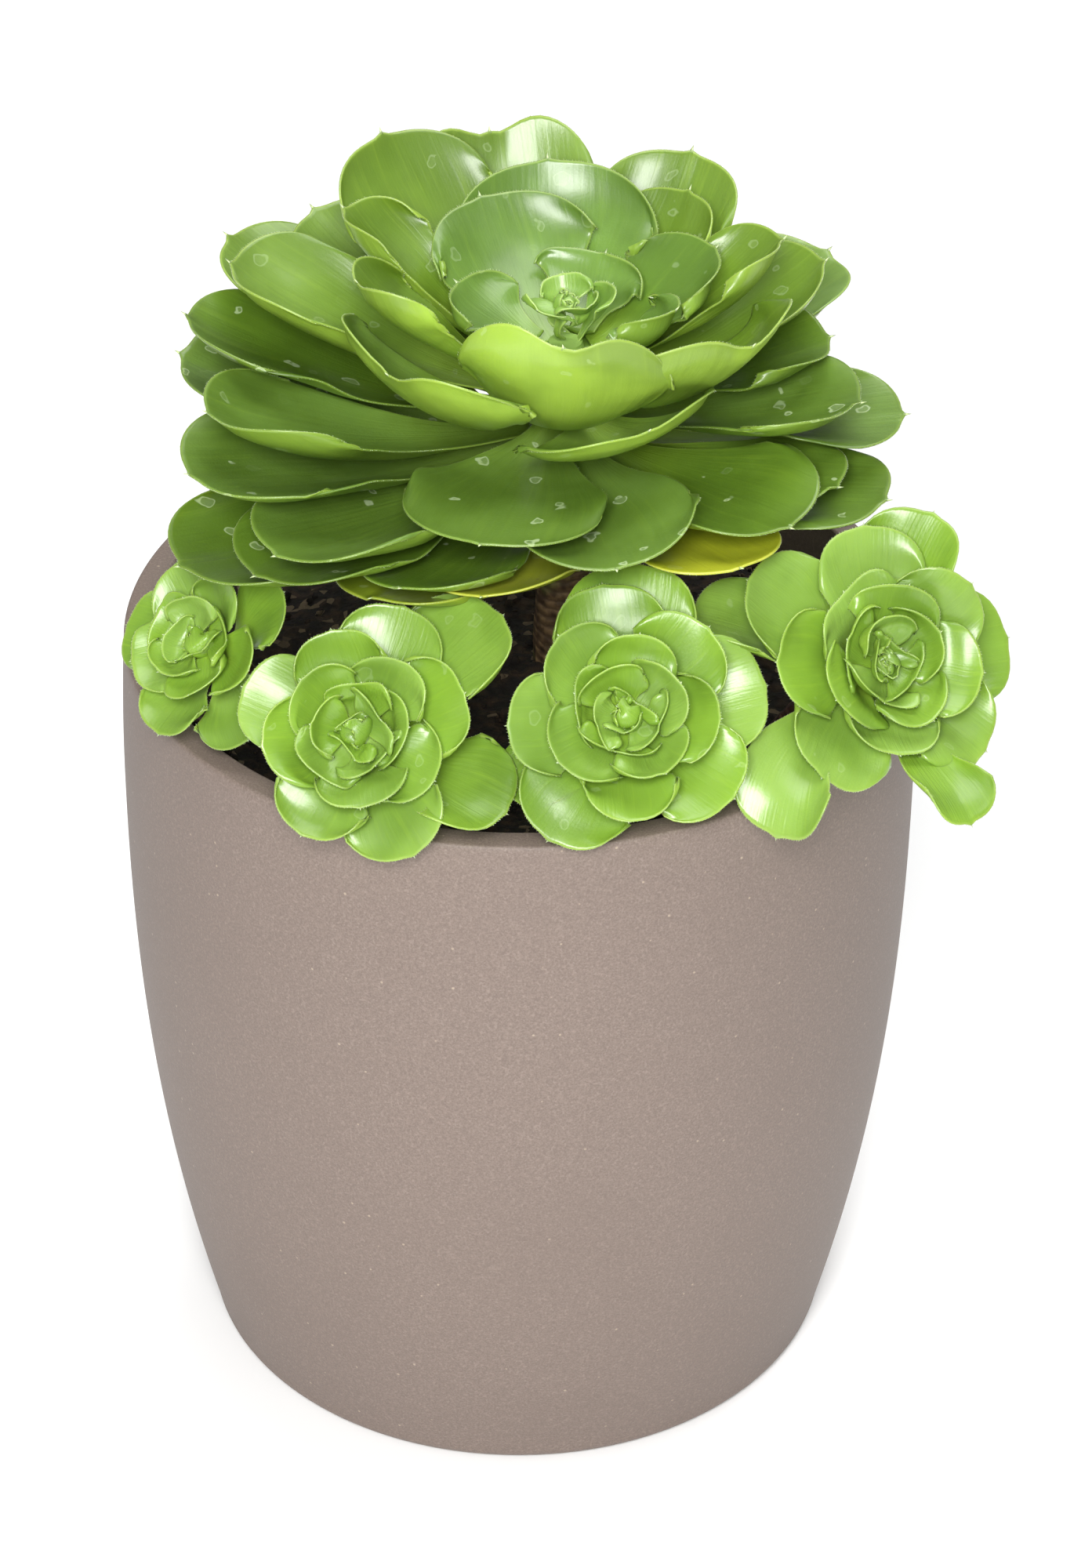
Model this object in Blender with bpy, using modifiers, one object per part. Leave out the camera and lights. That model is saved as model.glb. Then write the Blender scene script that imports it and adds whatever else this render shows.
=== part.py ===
"""Potted rosette succulent: a tapered round pot, soil, one large rosette and four offsets.

Frame: origin at the centre of the pot's flat base, +Z up, the front of the plant towards -Y.
Every leaf is lofted from one outline rule, then the leaves are eased apart so none of them touch.
"""
import math
from dataclasses import dataclass, replace

import bpy
import numpy as np
from mathutils import Vector

# ---------------------------------------------------------------- sizes, metres and degrees
POT_HEIGHT = 0.230
POT_RIM_R = 0.110
POT_BELLY_R = 0.1115
POT_BELLY_Z = 0.185
POT_FOOT_R = 0.0905
POT_FOOT_ROUND = 0.005
POT_WALL = 0.0078
POT_FLOOR = 0.010
RIM_ROUND = 0.0012
POT_SEGMENTS = 60

SOIL_DROP = 0.024
SOIL_MOUND = 0.004
FIT = 0.0003

STEM_X = 0.012
STEM_Y = 0.010
STEM_R = 0.0085
STEM_TOP_Z = 0.3135
ROOT_DEPTH = 0.045
OFFSET_STEM_R = 0.0042
OFFSET_ROOT_DEPTH = 0.030

LEAF_THICK = 0.0016
LEAF_CLEAR = 0.0012
LEAF_NECK = 0.15
LEAF_NECK_CUP = 15.0
TIP_BOW = 0.47
TIP_BLUNT = 2.4
ROOT_STEP = 0.0023
ROOT_REACH = 52.0
EASE_SWEEPS = 30

OFFSET_LEAF_THICK = 0.0014
OFFSET_CORE_R = 0.0042

ACROSS = (-1.0, -0.62, 0.0, 0.62, 1.0)
ALONG = (0.0, 0.16, 0.34, 0.52, 0.70, 0.86, 1.0)
OFFSET_ACROSS = (-1.0, 0.0, 1.0)
OFFSET_ALONG = (0.0, 0.35, 0.7, 1.0)


@dataclass(frozen=True)
class Leaf:
    """One leaf: sizes in millimetres, angles in degrees, azimuth 0 at the front, 90 at the right."""

    name: str
    azimuth: float
    root_z: float
    length: float
    width: float
    rise_root: float
    rise_tip: float
    cup: float = 30.0
    notch: float = 0.0
    power: float = 1.3
    twist: float = 0.0
    bend: float = 0.0
    neck: float = LEAF_NECK


@dataclass(frozen=True)
class Offset:
    """One small side rosette on its own stem."""

    name: str
    crown: tuple
    lean: float
    heading: float
    span: float
    leaves: int
    foot: tuple
    turn: float
    hanging: tuple = ()


LEAVES = (
    Leaf("inner_leaf_1", 158, 312.0, 24, 27, 15, 52, 38, neck=0.36),
    Leaf("inner_leaf_2", 62, 311.3, 32, 28, 20, 70, 60, neck=0.36),
    Leaf("inner_leaf_3", -114, 310.6, 26, 27, 15, 42, 35, neck=0.36),
    Leaf("inner_leaf_4", 112, 309.8, 43, 42, 15, 57, 45, neck=0.32),
    Leaf("inner_leaf_5", -150, 309.1, 48, 48, 15, 53, 38, neck=0.32),
    Leaf("inner_leaf_6", -175, 308.4, 59, 58, 15, 65, 38, neck=0.3),
    Leaf("bowl_leaf_1", -110, 307.7, 66, 34, 20, 48, 65),
    Leaf("bowl_leaf_2", 102, 307.0, 60, 34, 15, 55, 65),
    Leaf("bowl_leaf_3", 143, 306.2, 60, 36, 15, 57, 45),
    Leaf("bowl_leaf_4", -72, 305.5, 66, 40, 20, 62, 65, notch=0.05),
    Leaf("bowl_leaf_5", 50.8, 304.8, 72, 63, -8, 71, 42, notch=0.12, power=1.0),
    Leaf("bowl_leaf_6", -2, 304.1, 77, 58, -11, 99, 42, notch=0.1, power=0.9),
    Leaf("bowl_leaf_7", -46, 303.4, 74, 69, -7, 68, 40, notch=0.14, power=1.0),
    Leaf("bowl_leaf_8", 150, 302.6, 74, 46, 10, 60, 45),
    Leaf("bowl_leaf_9", -140, 301.9, 86, 52, 5, 60, 35),
    Leaf("bowl_leaf_10", -95, 301.2, 89, 48, 5, 42, 60),
    Leaf("bowl_leaf_11", 108, 300.5, 72, 44, 5, 44, 45),
    Leaf("bowl_leaf_12", 20, 299.8, 62, 58, -4, 60, 30, notch=0.06, twist=16),
    Leaf("bowl_leaf_13", -164, 299.0, 88, 56, 5, 74, 35, notch=0.08),
    Leaf("bowl_leaf_14", -128, 298.3, 85, 44, 5, 36, 38),
    Leaf("bowl_leaf_15", -113, 297.6, 98, 44, 0, 38, 40),
    Leaf("outer_leaf_1", 98, 296.9, 65, 46, 0, 22, 35),
    Leaf("outer_leaf_2", -15, 296.2, 75, 54, -5, 10, 15),
    Leaf("outer_leaf_3", -92, 295.4, 98, 52, 0, 34, 40),
    Leaf("outer_leaf_4", 76, 294.7, 73, 52, 0, 26, 42),
    Leaf("outer_leaf_5", -66, 294.0, 98, 54, 0, 36, 50),
    Leaf("outer_leaf_6", 86, 293.3, 83, 44, -5, 8, 20),
    Leaf("outer_leaf_7", 9, 292.6, 78, 52, -5, 10, 30),
    Leaf("outer_leaf_8", 43, 291.8, 77, 52, -5, 14, 42),
    Leaf("outer_leaf_9", 60, 291.1, 75, 44, -5, 26, 25),
    Leaf("outer_leaf_10", -62, 290.4, 104, 56, -5, 22, 45),
    Leaf("outer_leaf_11", -44, 289.7, 99, 52, -5, 20, 42),
    Leaf("outer_leaf_12", -98, 289.0, 99, 50, -5, 27, 35),
    Leaf("outer_leaf_13", 66, 287.5, 85, 42, -8, 18, 20),
    Leaf("outer_leaf_14", -48, 286.8, 99, 50, -8, 8, 25),
    Leaf("outer_leaf_15", -60, 286.1, 108, 56, -10, 8, 25),
    Leaf("outer_leaf_16", -28, 285.4, 84, 46, -8, 24, 25),
    Leaf("back_leaf_1", 178, 295.8, 88, 52, 0, 30, 30),
    Leaf("back_leaf_2", 128, 293.6, 86, 50, 0, 26, 30),
    Leaf("back_leaf_3", -150, 291.4, 92, 52, -2, 22, 28),
    Leaf("back_leaf_4", 155, 289.4, 90, 50, -4, 18, 25),
    Leaf("back_leaf_5", -125, 287.2, 94, 50, -6, 12, 25),
    Leaf("back_leaf_6", 108, 286.4, 84, 46, -8, 8, 20),
    Leaf("old_leaf_1", 31, 288.2, 80, 42, -8, 16, 15),
    Leaf("old_leaf_2", -15, 284.6, 76, 40, 0, 20, 15),
    Leaf("old_leaf_3", -34, 283.9, 82, 42, -3, 16, 15),
)

OFFSETS = (
    Offset("offset_left", (-0.083, -0.050, 0.2525), 48, -46, 0.047, 17, (-0.066, -0.030), 20),
    Offset("offset_front_left", (-0.041, -0.089, 0.2505), 48, -8, 0.0555, 20, (-0.038, -0.058), 75, (
        Leaf("hanging_1", 112, -2, 48, 42, 42, 34, 30),
        Leaf("hanging_2", 62, -3, 42, 38, -5, -14, 30),
    )),
    Offset("offset_front_right", (0.028, -0.086, 0.254), 46, 4, 0.061, 20, (0.026, -0.052), 10, (
        Leaf("hanging_1", 172, -2, 42, 38, 55, 45, 26),
        Leaf("hanging_2", -58, -3, 33, 32, -8, -22, 30),
    )),
    Offset("offset_right", (0.0945, -0.0585, 0.2535), 50, 30, 0.0655, 20, (0.070, -0.030), 130, (
        Leaf("hanging_1", -30, -3, 58, 30, 5, -65, 34, power=1.6),
        Leaf("hanging_2", 30, -3, 52, 20, 0, -45, 26),
        Leaf("hanging_3", -88, -2, 50, 34, 30, 15, 34),
        Leaf("hanging_4", 140, -2, 45, 36, 64, 48, 30),
    )),
)

GREEN_INNER = (0.30, 0.50, 0.12)
GREEN_BOWL = (0.22, 0.42, 0.06)
GREEN_OUTER = (0.13, 0.27, 0.04)
GREEN_OLD = (0.42, 0.44, 0.04)
GREEN_OFFSET = (0.34, 0.56, 0.20)
STEM_BROWN = (0.20, 0.13, 0.07)
SOIL_BLACK = (0.018, 0.014, 0.011)
POT_TAUPE = (0.22, 0.18, 0.165)


# ---------------------------------------------------------------- scene helpers
def clear_scene():
    """Remove everything that a new file starts with."""
    for obj in list(bpy.data.objects):
        bpy.data.objects.remove(obj, do_unlink=True)
    for coll in list(bpy.data.collections):
        bpy.data.collections.remove(coll)


def new_collection(name, wire=False):
    """Make a collection; a wire one holds the shapes that only cut or join others."""
    coll = bpy.data.collections.new(name)
    bpy.context.scene.collection.children.link(coll)
    coll.hide_render = wire
    return coll


def material(name, colour, roughness, metallic=0.0):
    """Make a Principled material."""
    mat = bpy.data.materials.new(name)
    mat.use_nodes = True
    shader = mat.node_tree.nodes["Principled BSDF"]
    shader.inputs["Base Color"].default_value = (*colour, 1.0)
    shader.inputs["Roughness"].default_value = roughness
    shader.inputs["Metallic"].default_value = metallic
    return mat


def add_object(name, mesh, coll, mat=None):
    """Link a mesh as a named object."""
    obj = bpy.data.objects.new(name, mesh)
    coll.objects.link(obj)
    if mat is not None:
        mesh.materials.append(mat)
    return obj


def add_cutter(obj):
    """Show a joining or cutting shape as wire and keep it out of renders."""
    obj.hide_render = True
    obj.display_type = "WIRE"
    return obj


def smooth(mesh):
    """Shade every face smooth."""
    mesh.polygons.foreach_set("use_smooth", [True] * len(mesh.polygons))


def turned(name, profile, coll, mat, segments):
    """Turn an (r, z) profile about Z with a Screw modifier."""
    mesh = bpy.data.meshes.new(name)
    points = [(r, 0.0, z) for r, z in profile]
    edges = [(i, i + 1) for i in range(len(points) - 1)]
    mesh.from_pydata(points, edges, [])
    obj = add_object(name, mesh, coll, mat)
    screw = obj.modifiers.new("turn", "SCREW")
    screw.axis = "Z"
    screw.angle = math.tau
    screw.steps = segments
    screw.render_steps = segments
    screw.use_merge_vertices = True
    screw.merge_threshold = 0.00005
    screw.use_smooth_shade = True
    return obj


# ---------------------------------------------------------------- pot and soil
def pot_outer_radius(z):
    """Outer radius of the pot's side at height z: a soft belly that tapers to the foot."""
    if z >= POT_BELLY_Z:
        share = (z - POT_BELLY_Z) / (POT_HEIGHT - POT_BELLY_Z)
        return POT_BELLY_R + (POT_RIM_R - POT_BELLY_R) * share ** 2
    share = (POT_BELLY_Z - z) / POT_BELLY_Z
    return POT_BELLY_R + (POT_FOOT_R - POT_BELLY_R) * share ** 2.3


def foot_arc(count=4):
    """Points of the rounded lower edge, from the side down to the base."""
    centre_r = pot_outer_radius(POT_FOOT_ROUND) - POT_FOOT_ROUND
    points = []
    for i in range(count):
        angle = math.pi / 2 * i / (count - 1)
        points.append((centre_r + POT_FOOT_ROUND * math.cos(angle),
                       POT_FOOT_ROUND * (1 - math.sin(angle))))
    return points


def rim_arc(centre_r, start, count=3):
    """Quarter round of the rim, from angle start (degrees) turning clockwise."""
    centre_z = POT_HEIGHT - RIM_ROUND
    points = []
    for i in range(count):
        angle = math.radians(start - 90 * i / (count - 1))
        points.append((centre_r + RIM_ROUND * math.cos(angle),
                       centre_z + RIM_ROUND * math.sin(angle)))
    return points


def inner_radius(z):
    """Inner radius of the pot at height z."""
    return pot_outer_radius(z) - POT_WALL


def inner_heights():
    """Heights, floor to soil line, that the pot's inner wall and the soil's side share."""
    return [float(z) for z in np.linspace(POT_FLOOR, POT_HEIGHT - SOIL_DROP, 6)]


def build_pot(coll):
    """Turn the pot: inside floor, inner wall, rim, outer side, rounded foot, flat base."""
    profile = [(0.0, POT_FLOOR)]
    profile += [(inner_radius(z), z) for z in inner_heights()]
    profile += rim_arc(POT_RIM_R - POT_WALL + RIM_ROUND, 180)
    profile += rim_arc(POT_RIM_R - RIM_ROUND, 90)
    outer_zs = np.linspace(POT_HEIGHT - RIM_ROUND, POT_FOOT_ROUND, 10)
    profile += [(pot_outer_radius(z), z) for z in outer_zs[1:-1]]
    profile += foot_arc()
    profile.append((0.0, 0.0))
    mat = material("pot_taupe", POT_TAUPE, 0.55)
    return turned("pot", profile, coll, mat, POT_SEGMENTS)


def soil_top(r):
    """Height of the soil at radius r: a low mound."""
    share = min(1.0, r / inner_radius(POT_HEIGHT - SOIL_DROP))
    return POT_HEIGHT - SOIL_DROP + SOIL_MOUND * (1 - share ** 2)


def build_soil(coll, cutters):
    """Turn the soil to fill the pot and bore it for each stem."""
    top_r = inner_radius(POT_HEIGHT - SOIL_DROP) - FIT
    rs = np.linspace(0.0, top_r, 4)
    profile = [(float(r), soil_top(r)) for r in rs]
    side_zs = inner_heights()[-2:0:-1]
    profile += [(inner_radius(z) - FIT, z) for z in side_zs]
    profile.append((inner_radius(POT_FLOOR) - FIT, POT_FLOOR + FIT))
    profile.append((0.0, POT_FLOOR + FIT))
    soil = turned("potting_soil", profile, coll, material("potting_soil", SOIL_BLACK, 0.95),
                  POT_SEGMENTS)
    bores = [("stem_bore", STEM_X, STEM_Y, STEM_R, ROOT_DEPTH)]
    for item in OFFSETS:
        bores.append((item.name + "_bore", *item.foot, OFFSET_STEM_R, OFFSET_ROOT_DEPTH))
    for name, x, y, radius, depth in bores:
        top = POT_HEIGHT
        bottom = soil_top(math.hypot(x, y)) - depth - FIT
        profile = [(0.0, top), (radius + FIT, top), (radius + FIT, bottom), (0.0, bottom)]
        cutter = add_cutter(turned(name, profile, cutters, None, 20))
        cutter.location = (x, y, 0.0)
        cut = soil.modifiers.new(name, "BOOLEAN")
        cut.operation = "DIFFERENCE"
        cut.solver = "EXACT"
        cut.object = cutter
    return soil


# ---------------------------------------------------------------- stems
def stem_from_path(name, points, radii, coll, mat, sides=14):
    """Loft a stem along a path, its rings level with the ground, closed at both ends."""
    verts = []
    faces = []
    for (x, y, z), radius in zip(points, radii):
        for k in range(sides):
            angle = math.tau * k / sides
            verts.append((x + radius * math.cos(angle), y + radius * math.sin(angle), z))
    for i in range(len(points) - 1):
        for k in range(sides):
            a = i * sides + k
            b = i * sides + (k + 1) % sides
            faces.append((a, b, b + sides, a + sides))
    faces.append(tuple(reversed(range(sides))))
    faces.append(tuple(range((len(points) - 1) * sides, len(points) * sides)))
    mesh = bpy.data.meshes.new(name)
    mesh.from_pydata(verts, [], faces)
    smooth(mesh)
    return add_object(name, mesh, coll, mat)


def build_main_stem(coll, mat):
    """Build the upright stem of the large rosette, its root end down in the soil."""
    base = soil_top(math.hypot(STEM_X, STEM_Y)) - ROOT_DEPTH
    zs = np.linspace(base, STEM_TOP_Z, 12)
    radii = [STEM_R * (0.94 + 0.06 * math.cos(1.7 * i)) for i in range(len(zs))]
    radii[-1] = STEM_R * 0.55
    points = [(STEM_X, STEM_Y, float(z)) for z in zs]
    return stem_from_path("main_stem", points, radii, coll, mat)


# ---------------------------------------------------------------- leaves
def leaf_grid(leaf, across, along, origin, neck_r):
    """Points of a leaf's upper face, as an array [along, across, xyz].

    The midrib rises from rise_root to rise_tip, the blade widens from a narrow neck to a round
    tip, and each cross section is an arc of half angle cup.
    """
    steps = 48
    u = np.linspace(0.0, 1.0, steps + 1)
    mid = (u[1:] + u[:-1]) / 2

    def elevation(x):
        return np.radians(leaf.rise_root + (leaf.rise_tip - leaf.rise_root) * x ** leaf.power)

    def heading(x):
        return np.radians(leaf.azimuth + leaf.bend * x)

    length = leaf.length / 1000
    half = leaf.width / 2000
    e, a = elevation(mid), heading(mid)
    d = np.c_[np.cos(e) * np.sin(a), -np.cos(e) * np.cos(a), np.sin(e)] * (length / steps)
    turn = math.radians(leaf.azimuth)
    start = np.array([origin[0] + neck_r * math.sin(turn),
                      origin[1] - neck_r * math.cos(turn), leaf.root_z / 1000])
    spine = np.vstack([start, start + np.cumsum(d, axis=0)])
    e, a = elevation(u), heading(u)
    tangent = np.c_[np.cos(e) * np.sin(a), -np.cos(e) * np.cos(a), np.sin(e)]
    side = np.c_[np.cos(a), np.sin(a), 0 * a]
    upper = np.cross(tangent, side)
    roll = np.radians(leaf.twist) * u ** 1.4
    side, upper = (side * np.cos(roll)[:, None] + upper * np.sin(roll)[:, None],
                   upper * np.cos(roll)[:, None] - side * np.sin(roll)[:, None])

    s = np.asarray(along)[:, None]
    t = np.asarray(across)[None, :]
    bow = 1 - np.maximum(0.0, 1 - np.abs(t) ** TIP_BLUNT) ** (1 / TIP_BLUNT)
    y = s - TIP_BOW * leaf.width / leaf.length * s ** 3 * bow - leaf.notch * s ** 4 * np.exp(-(t / 0.35) ** 2)
    y = y + 0.015 * s ** 14 * np.exp(-(t / 0.08) ** 2)
    y = np.clip(y, 0.0, 1.02)
    k = np.clip(s / 0.82, 0.0, 1.0)
    k = k * k * (3 - 2 * k)
    w = half * (leaf.neck + (1 - leaf.neck) * k ** 1.15) + 0 * t
    phi = np.radians(LEAF_NECK_CUP + (leaf.cup - LEAF_NECK_CUP) * np.clip(y / 0.6, 0.0, 1.0))
    out = w / phi * np.sin(phi * t)
    lift = w / phi * (1 - np.cos(phi * t))
    place = np.clip(y, 0.0, 1.0) * steps
    low = np.minimum(place.astype(int), steps - 1)
    part = (place - low)[..., None]

    def at(curve):
        return curve[low] * (1 - part) + curve[low + 1] * part

    past = np.clip(y - 1, 0.0, 1.0)[..., None] * length
    return at(spine) + at(tangent) * past + at(side) * out[..., None] + at(upper) * lift[..., None]


def upper_normals(points):
    """Unit normals of a grid's upper face."""
    n = np.cross(np.gradient(points, axis=0), np.gradient(points, axis=1))
    return n / (np.linalg.norm(n, axis=-1, keepdims=True) + 1e-12)


def sample_weights(rows, cols, fine):
    """Bilinear weights that spread samples evenly over a rows x cols grid."""
    a = np.linspace(0, rows - 1, (rows - 1) * fine + 1)
    b = np.linspace(0, cols - 1, (cols - 1) * fine + 1)
    w = np.zeros((len(a), len(b), rows, cols))
    for i, x in enumerate(a):
        for j, y in enumerate(b):
            p = min(int(x), rows - 2)
            q = min(int(y), cols - 2)
            f = x - p
            g = y - q
            w[i, j, p, q] += (1 - f) * (1 - g)
            w[i, j, p + 1, q] += f * (1 - g)
            w[i, j, p, q + 1] += (1 - f) * g
            w[i, j, p + 1, q + 1] += f * g
    return w.reshape(len(a) * len(b), rows * cols), (len(a), len(b), 3)


def relax(shift, rows, cols):
    """Spread a grid's shifts to their neighbours and keep its root on the stem."""
    d = shift.reshape(rows, cols, 3)
    flow = np.zeros_like(d)
    count = np.zeros((rows, cols, 1))
    flow[1:] += d[:-1] - d[1:]
    count[1:] += 1
    flow[:-1] += d[1:] - d[:-1]
    count[:-1] += 1
    flow[:, 1:] += d[:, :-1] - d[:, 1:]
    count[:, 1:] += 1
    flow[:, :-1] += d[:, 1:] - d[:, :-1]
    count[:, :-1] += 1
    d = d + 0.25 * flow / count
    d[0, :, :2] = 0.0
    d[0, :, 2] = d[0, :, 2].mean()
    d[1] = d[1] * 0.5 + d[1].mean(0) * 0.5
    return d.reshape(-1, 3)


def ease_apart(grids):
    """Move leaves off one another; each grid lies wholly below every grid before it.

    A lower leaf that reaches a higher one is pushed under it, and the higher one gives a little.
    """
    rows, cols = len(ALONG), len(ACROSS)
    weights, shape = sample_weights(rows, cols, 3)
    start = [g.reshape(-1, 3) for g in grids]
    now = [g.copy() for g in start]
    need = LEAF_THICK + LEAF_CLEAR
    for _ in range(EASE_SWEEPS):
        points = [weights @ g for g in now]
        normals = [upper_normals(p.reshape(shape)).reshape(-1, 3) for p in points]
        low = [p.min(0) - need for p in points]
        high = [p.max(0) + need for p in points]
        push = [np.zeros((rows * cols, 3)) for _ in now]
        load = [np.zeros((rows * cols, 1)) for _ in now]
        for a in range(len(now)):
            for b in range(a + 1, len(now)):
                if (low[a] > high[b]).any() or (low[b] > high[a]).any():
                    continue
                near = np.where(((points[b] > low[a]) & (points[b] < high[a])).all(1))[0]
                if len(near) == 0:
                    continue
                gap = points[b][near][:, None] - points[a][None]
                dist = (gap ** 2).sum(-1)
                k = dist.argmin(1)
                rows_k = np.arange(len(k))
                n = normals[a][k]
                above = (gap[rows_k, k] * n).sum(1)
                beside = np.sqrt(np.maximum(0.0, dist[rows_k, k] - above ** 2))
                hit = (above > -need) & (above < 0.012) & (beside < 0.0036)
                if not hit.any():
                    continue
                move = (above[hit] + need)[:, None] * n[hit]
                w_b = weights[near[hit]]
                w_a = weights[k[hit]]
                push[b] -= w_b.T @ (move * 0.6)
                load[b] += w_b.sum(0)[:, None]
                push[a] += w_a.T @ (move * 0.4)
                load[a] += w_a.sum(0)[:, None]
        for i in range(len(now)):
            step = np.where(load[i] > 1e-3, push[i] / np.maximum(load[i], 1e-6), 0.0)
            size = np.linalg.norm(step, axis=1, keepdims=True)
            step *= np.minimum(1.0, 0.0025 / np.maximum(size, 1e-9))
            now[i] = start[i] + relax(now[i] + step - start[i], rows, cols)
    return [g.reshape(rows, cols, 3) for g in now]


def grid_mesh(name, grid):
    """Loft a grid of points as quads, upper face outwards."""
    rows, cols = grid.shape[:2]
    faces = []
    for i in range(rows - 1):
        for j in range(cols - 1):
            a = i * cols + j
            faces.append((a, a + cols, a + cols + 1, a + 1))
    mesh = bpy.data.meshes.new(name)
    mesh.from_pydata([tuple(p) for p in grid.reshape(-1, 3)], [], faces)
    smooth(mesh)
    return mesh


def thicken(obj, thickness):
    """Give a lofted leaf its thickness, below its upper face."""
    shell = obj.modifiers.new("thickness", "SOLIDIFY")
    shell.thickness = thickness
    shell.offset = -1.0
    shell.use_even_offset = False
    return obj


def stack_roots(leaves):
    """Order the leaves from the top and keep roots that share a side of the stem a step apart."""
    stacked = []
    for leaf in sorted(leaves, key=lambda item: -item.root_z):
        z = leaf.root_z
        for above in stacked:
            apart = abs((leaf.azimuth - above.azimuth + 180) % 360 - 180)
            share = min(1.0, max(0.0, (ROOT_REACH - apart) / 12))
            if share > 0:
                z = min(z, above.root_z - 1000 * ROOT_STEP * share)
        stacked.append(replace(leaf, root_z=z))
    return stacked


def build_leaves(coll, mats):
    """Loft all the leaves of the large rosette, highest first, and ease them apart."""
    ordered = stack_roots(LEAVES)
    origin = (STEM_X, STEM_Y)
    grids = [leaf_grid(leaf, ACROSS, ALONG, origin, STEM_R + FIT) for leaf in ordered]
    for leaf, grid in zip(ordered, ease_apart(grids)):
        kind = leaf.name.split("_")[0]
        obj = add_object(leaf.name, grid_mesh(leaf.name, grid), coll, mats[kind])
        thicken(obj, LEAF_THICK)


# ---------------------------------------------------------------- offsets
def crown_frame(item):
    """Axes of an offset: its own up leans by lean degrees towards heading."""
    lean = math.radians(item.lean)
    head = math.radians(item.heading)
    ahead = np.array([math.sin(head), -math.cos(head), 0.0])
    up = ahead * math.sin(lean) + np.array([0.0, 0.0, math.cos(lean)])
    right = np.array([math.cos(head), math.sin(head), 0.0])
    return np.column_stack([right, np.cross(up, right), up])


def offset_leaves(item):
    """Leaf sizes of an offset, youngest first, set round the crown at the golden angle."""
    leaves = []
    for i in range(item.leaves):
        age = i / (item.leaves - 1)
        length = item.span * 1000 * (0.20 + 0.42 * age ** 0.9)
        leaves.append(Leaf(
            name=f"{item.name}_leaf_{i + 1}",
            azimuth=item.turn + 137.5 * i,
            root_z=2.5 - 6.0 * age,
            length=length,
            width=length * (1.0 - 0.16 * age),
            rise_root=56 - 54 * age,
            rise_tip=84 - 76 * age,
            cup=44 - 18 * age,
        ))
    return leaves


def build_offset(item, coll, cutters, leaf_mat, stem_mat):
    """Build one offset: its stem and its rosette, leaves and crown grown as one piece."""
    frame = crown_frame(item)
    centre = np.array(item.crown)
    core = bpy.data.meshes.new(item.name + "_rosette")
    rings = 6
    profile = []
    for i in range(rings + 1):
        angle = math.pi * (0.5 - i / rings)
        profile.append((OFFSET_CORE_R * math.cos(angle), 1.35 * OFFSET_CORE_R * math.sin(angle)))
    verts = []
    faces = []
    sides = 10
    for r, z in profile[1:-1]:
        for k in range(sides):
            turn = math.tau * k / sides
            verts.append((r * math.cos(turn), r * math.sin(turn), z))
    top = len(verts)
    verts.append((0.0, 0.0, profile[0][1]))
    verts.append((0.0, 0.0, profile[-1][1]))
    for i in range(rings - 2):
        for k in range(sides):
            a = i * sides + k
            b = i * sides + (k + 1) % sides
            faces.append((a, a + sides, b + sides, b))
    for k in range(sides):
        faces.append((top, k, (k + 1) % sides))
        last = (rings - 2) * sides
        faces.append((top + 1, last + (k + 1) % sides, last + k))
    world = [tuple(centre + frame @ np.array(v)) for v in verts]
    core.from_pydata(world, [], faces)
    smooth(core)
    rosette = add_object(item.name + "_rosette", core, coll, leaf_mat)
    group = bpy.data.collections.new(item.name + "_leaves")
    cutters.children.link(group)
    spread = [(leaf, frame) for leaf in offset_leaves(item)]
    plumb = [(leaf, np.eye(3)) for leaf in item.hanging]
    for leaf, axes in spread + plumb:
        grid = leaf_grid(leaf, OFFSET_ACROSS, OFFSET_ALONG, (0.0, 0.0), OFFSET_CORE_R * 0.35)
        grid = centre + grid @ axes.T
        blade = add_object(leaf.name, grid_mesh(leaf.name, grid), group)
        thicken(add_cutter(blade), OFFSET_LEAF_THICK)
    join = rosette.modifiers.new("leaves", "BOOLEAN")
    join.operation = "UNION"
    join.solver = "EXACT"
    join.operand_type = "COLLECTION"
    join.collection = group
    build_offset_stem(item, frame, coll, stem_mat)


def build_offset_stem(item, frame, coll, mat):
    """Curve a bevelled stem from the soil to just under the crown."""
    base_z = soil_top(math.hypot(*item.foot)) - OFFSET_ROOT_DEPTH
    up = frame[:, 2]
    end = np.array(item.crown) - up * (OFFSET_CORE_R * 1.35 + FIT)
    foot = np.array([item.foot[0], item.foot[1], base_z])
    mid = np.array([item.foot[0], item.foot[1], base_z + OFFSET_ROOT_DEPTH])
    steer = end - up * 0.010
    points = [foot, mid]
    for i in range(1, 6):
        f = i / 5
        points.append((1 - f) ** 3 * mid + 3 * (1 - f) ** 2 * f * (mid + [0, 0, 0.008])
                      + 3 * (1 - f) * f ** 2 * steer + f ** 3 * end)
    curve = bpy.data.curves.new(item.name + "_stem", "CURVE")
    curve.dimensions = "3D"
    curve.bevel_depth = OFFSET_STEM_R * 0.95
    curve.bevel_resolution = 2
    curve.use_fill_caps = True
    spline = curve.splines.new("POLY")
    spline.points.add(len(points) - 1)
    for point, place in zip(spline.points, points):
        point.co = (*place, 1.0)
    spline.points[-1].radius = 0.75
    obj = bpy.data.objects.new(item.name + "_stem", curve)
    curve.materials.append(mat)
    coll.objects.link(obj)


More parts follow.
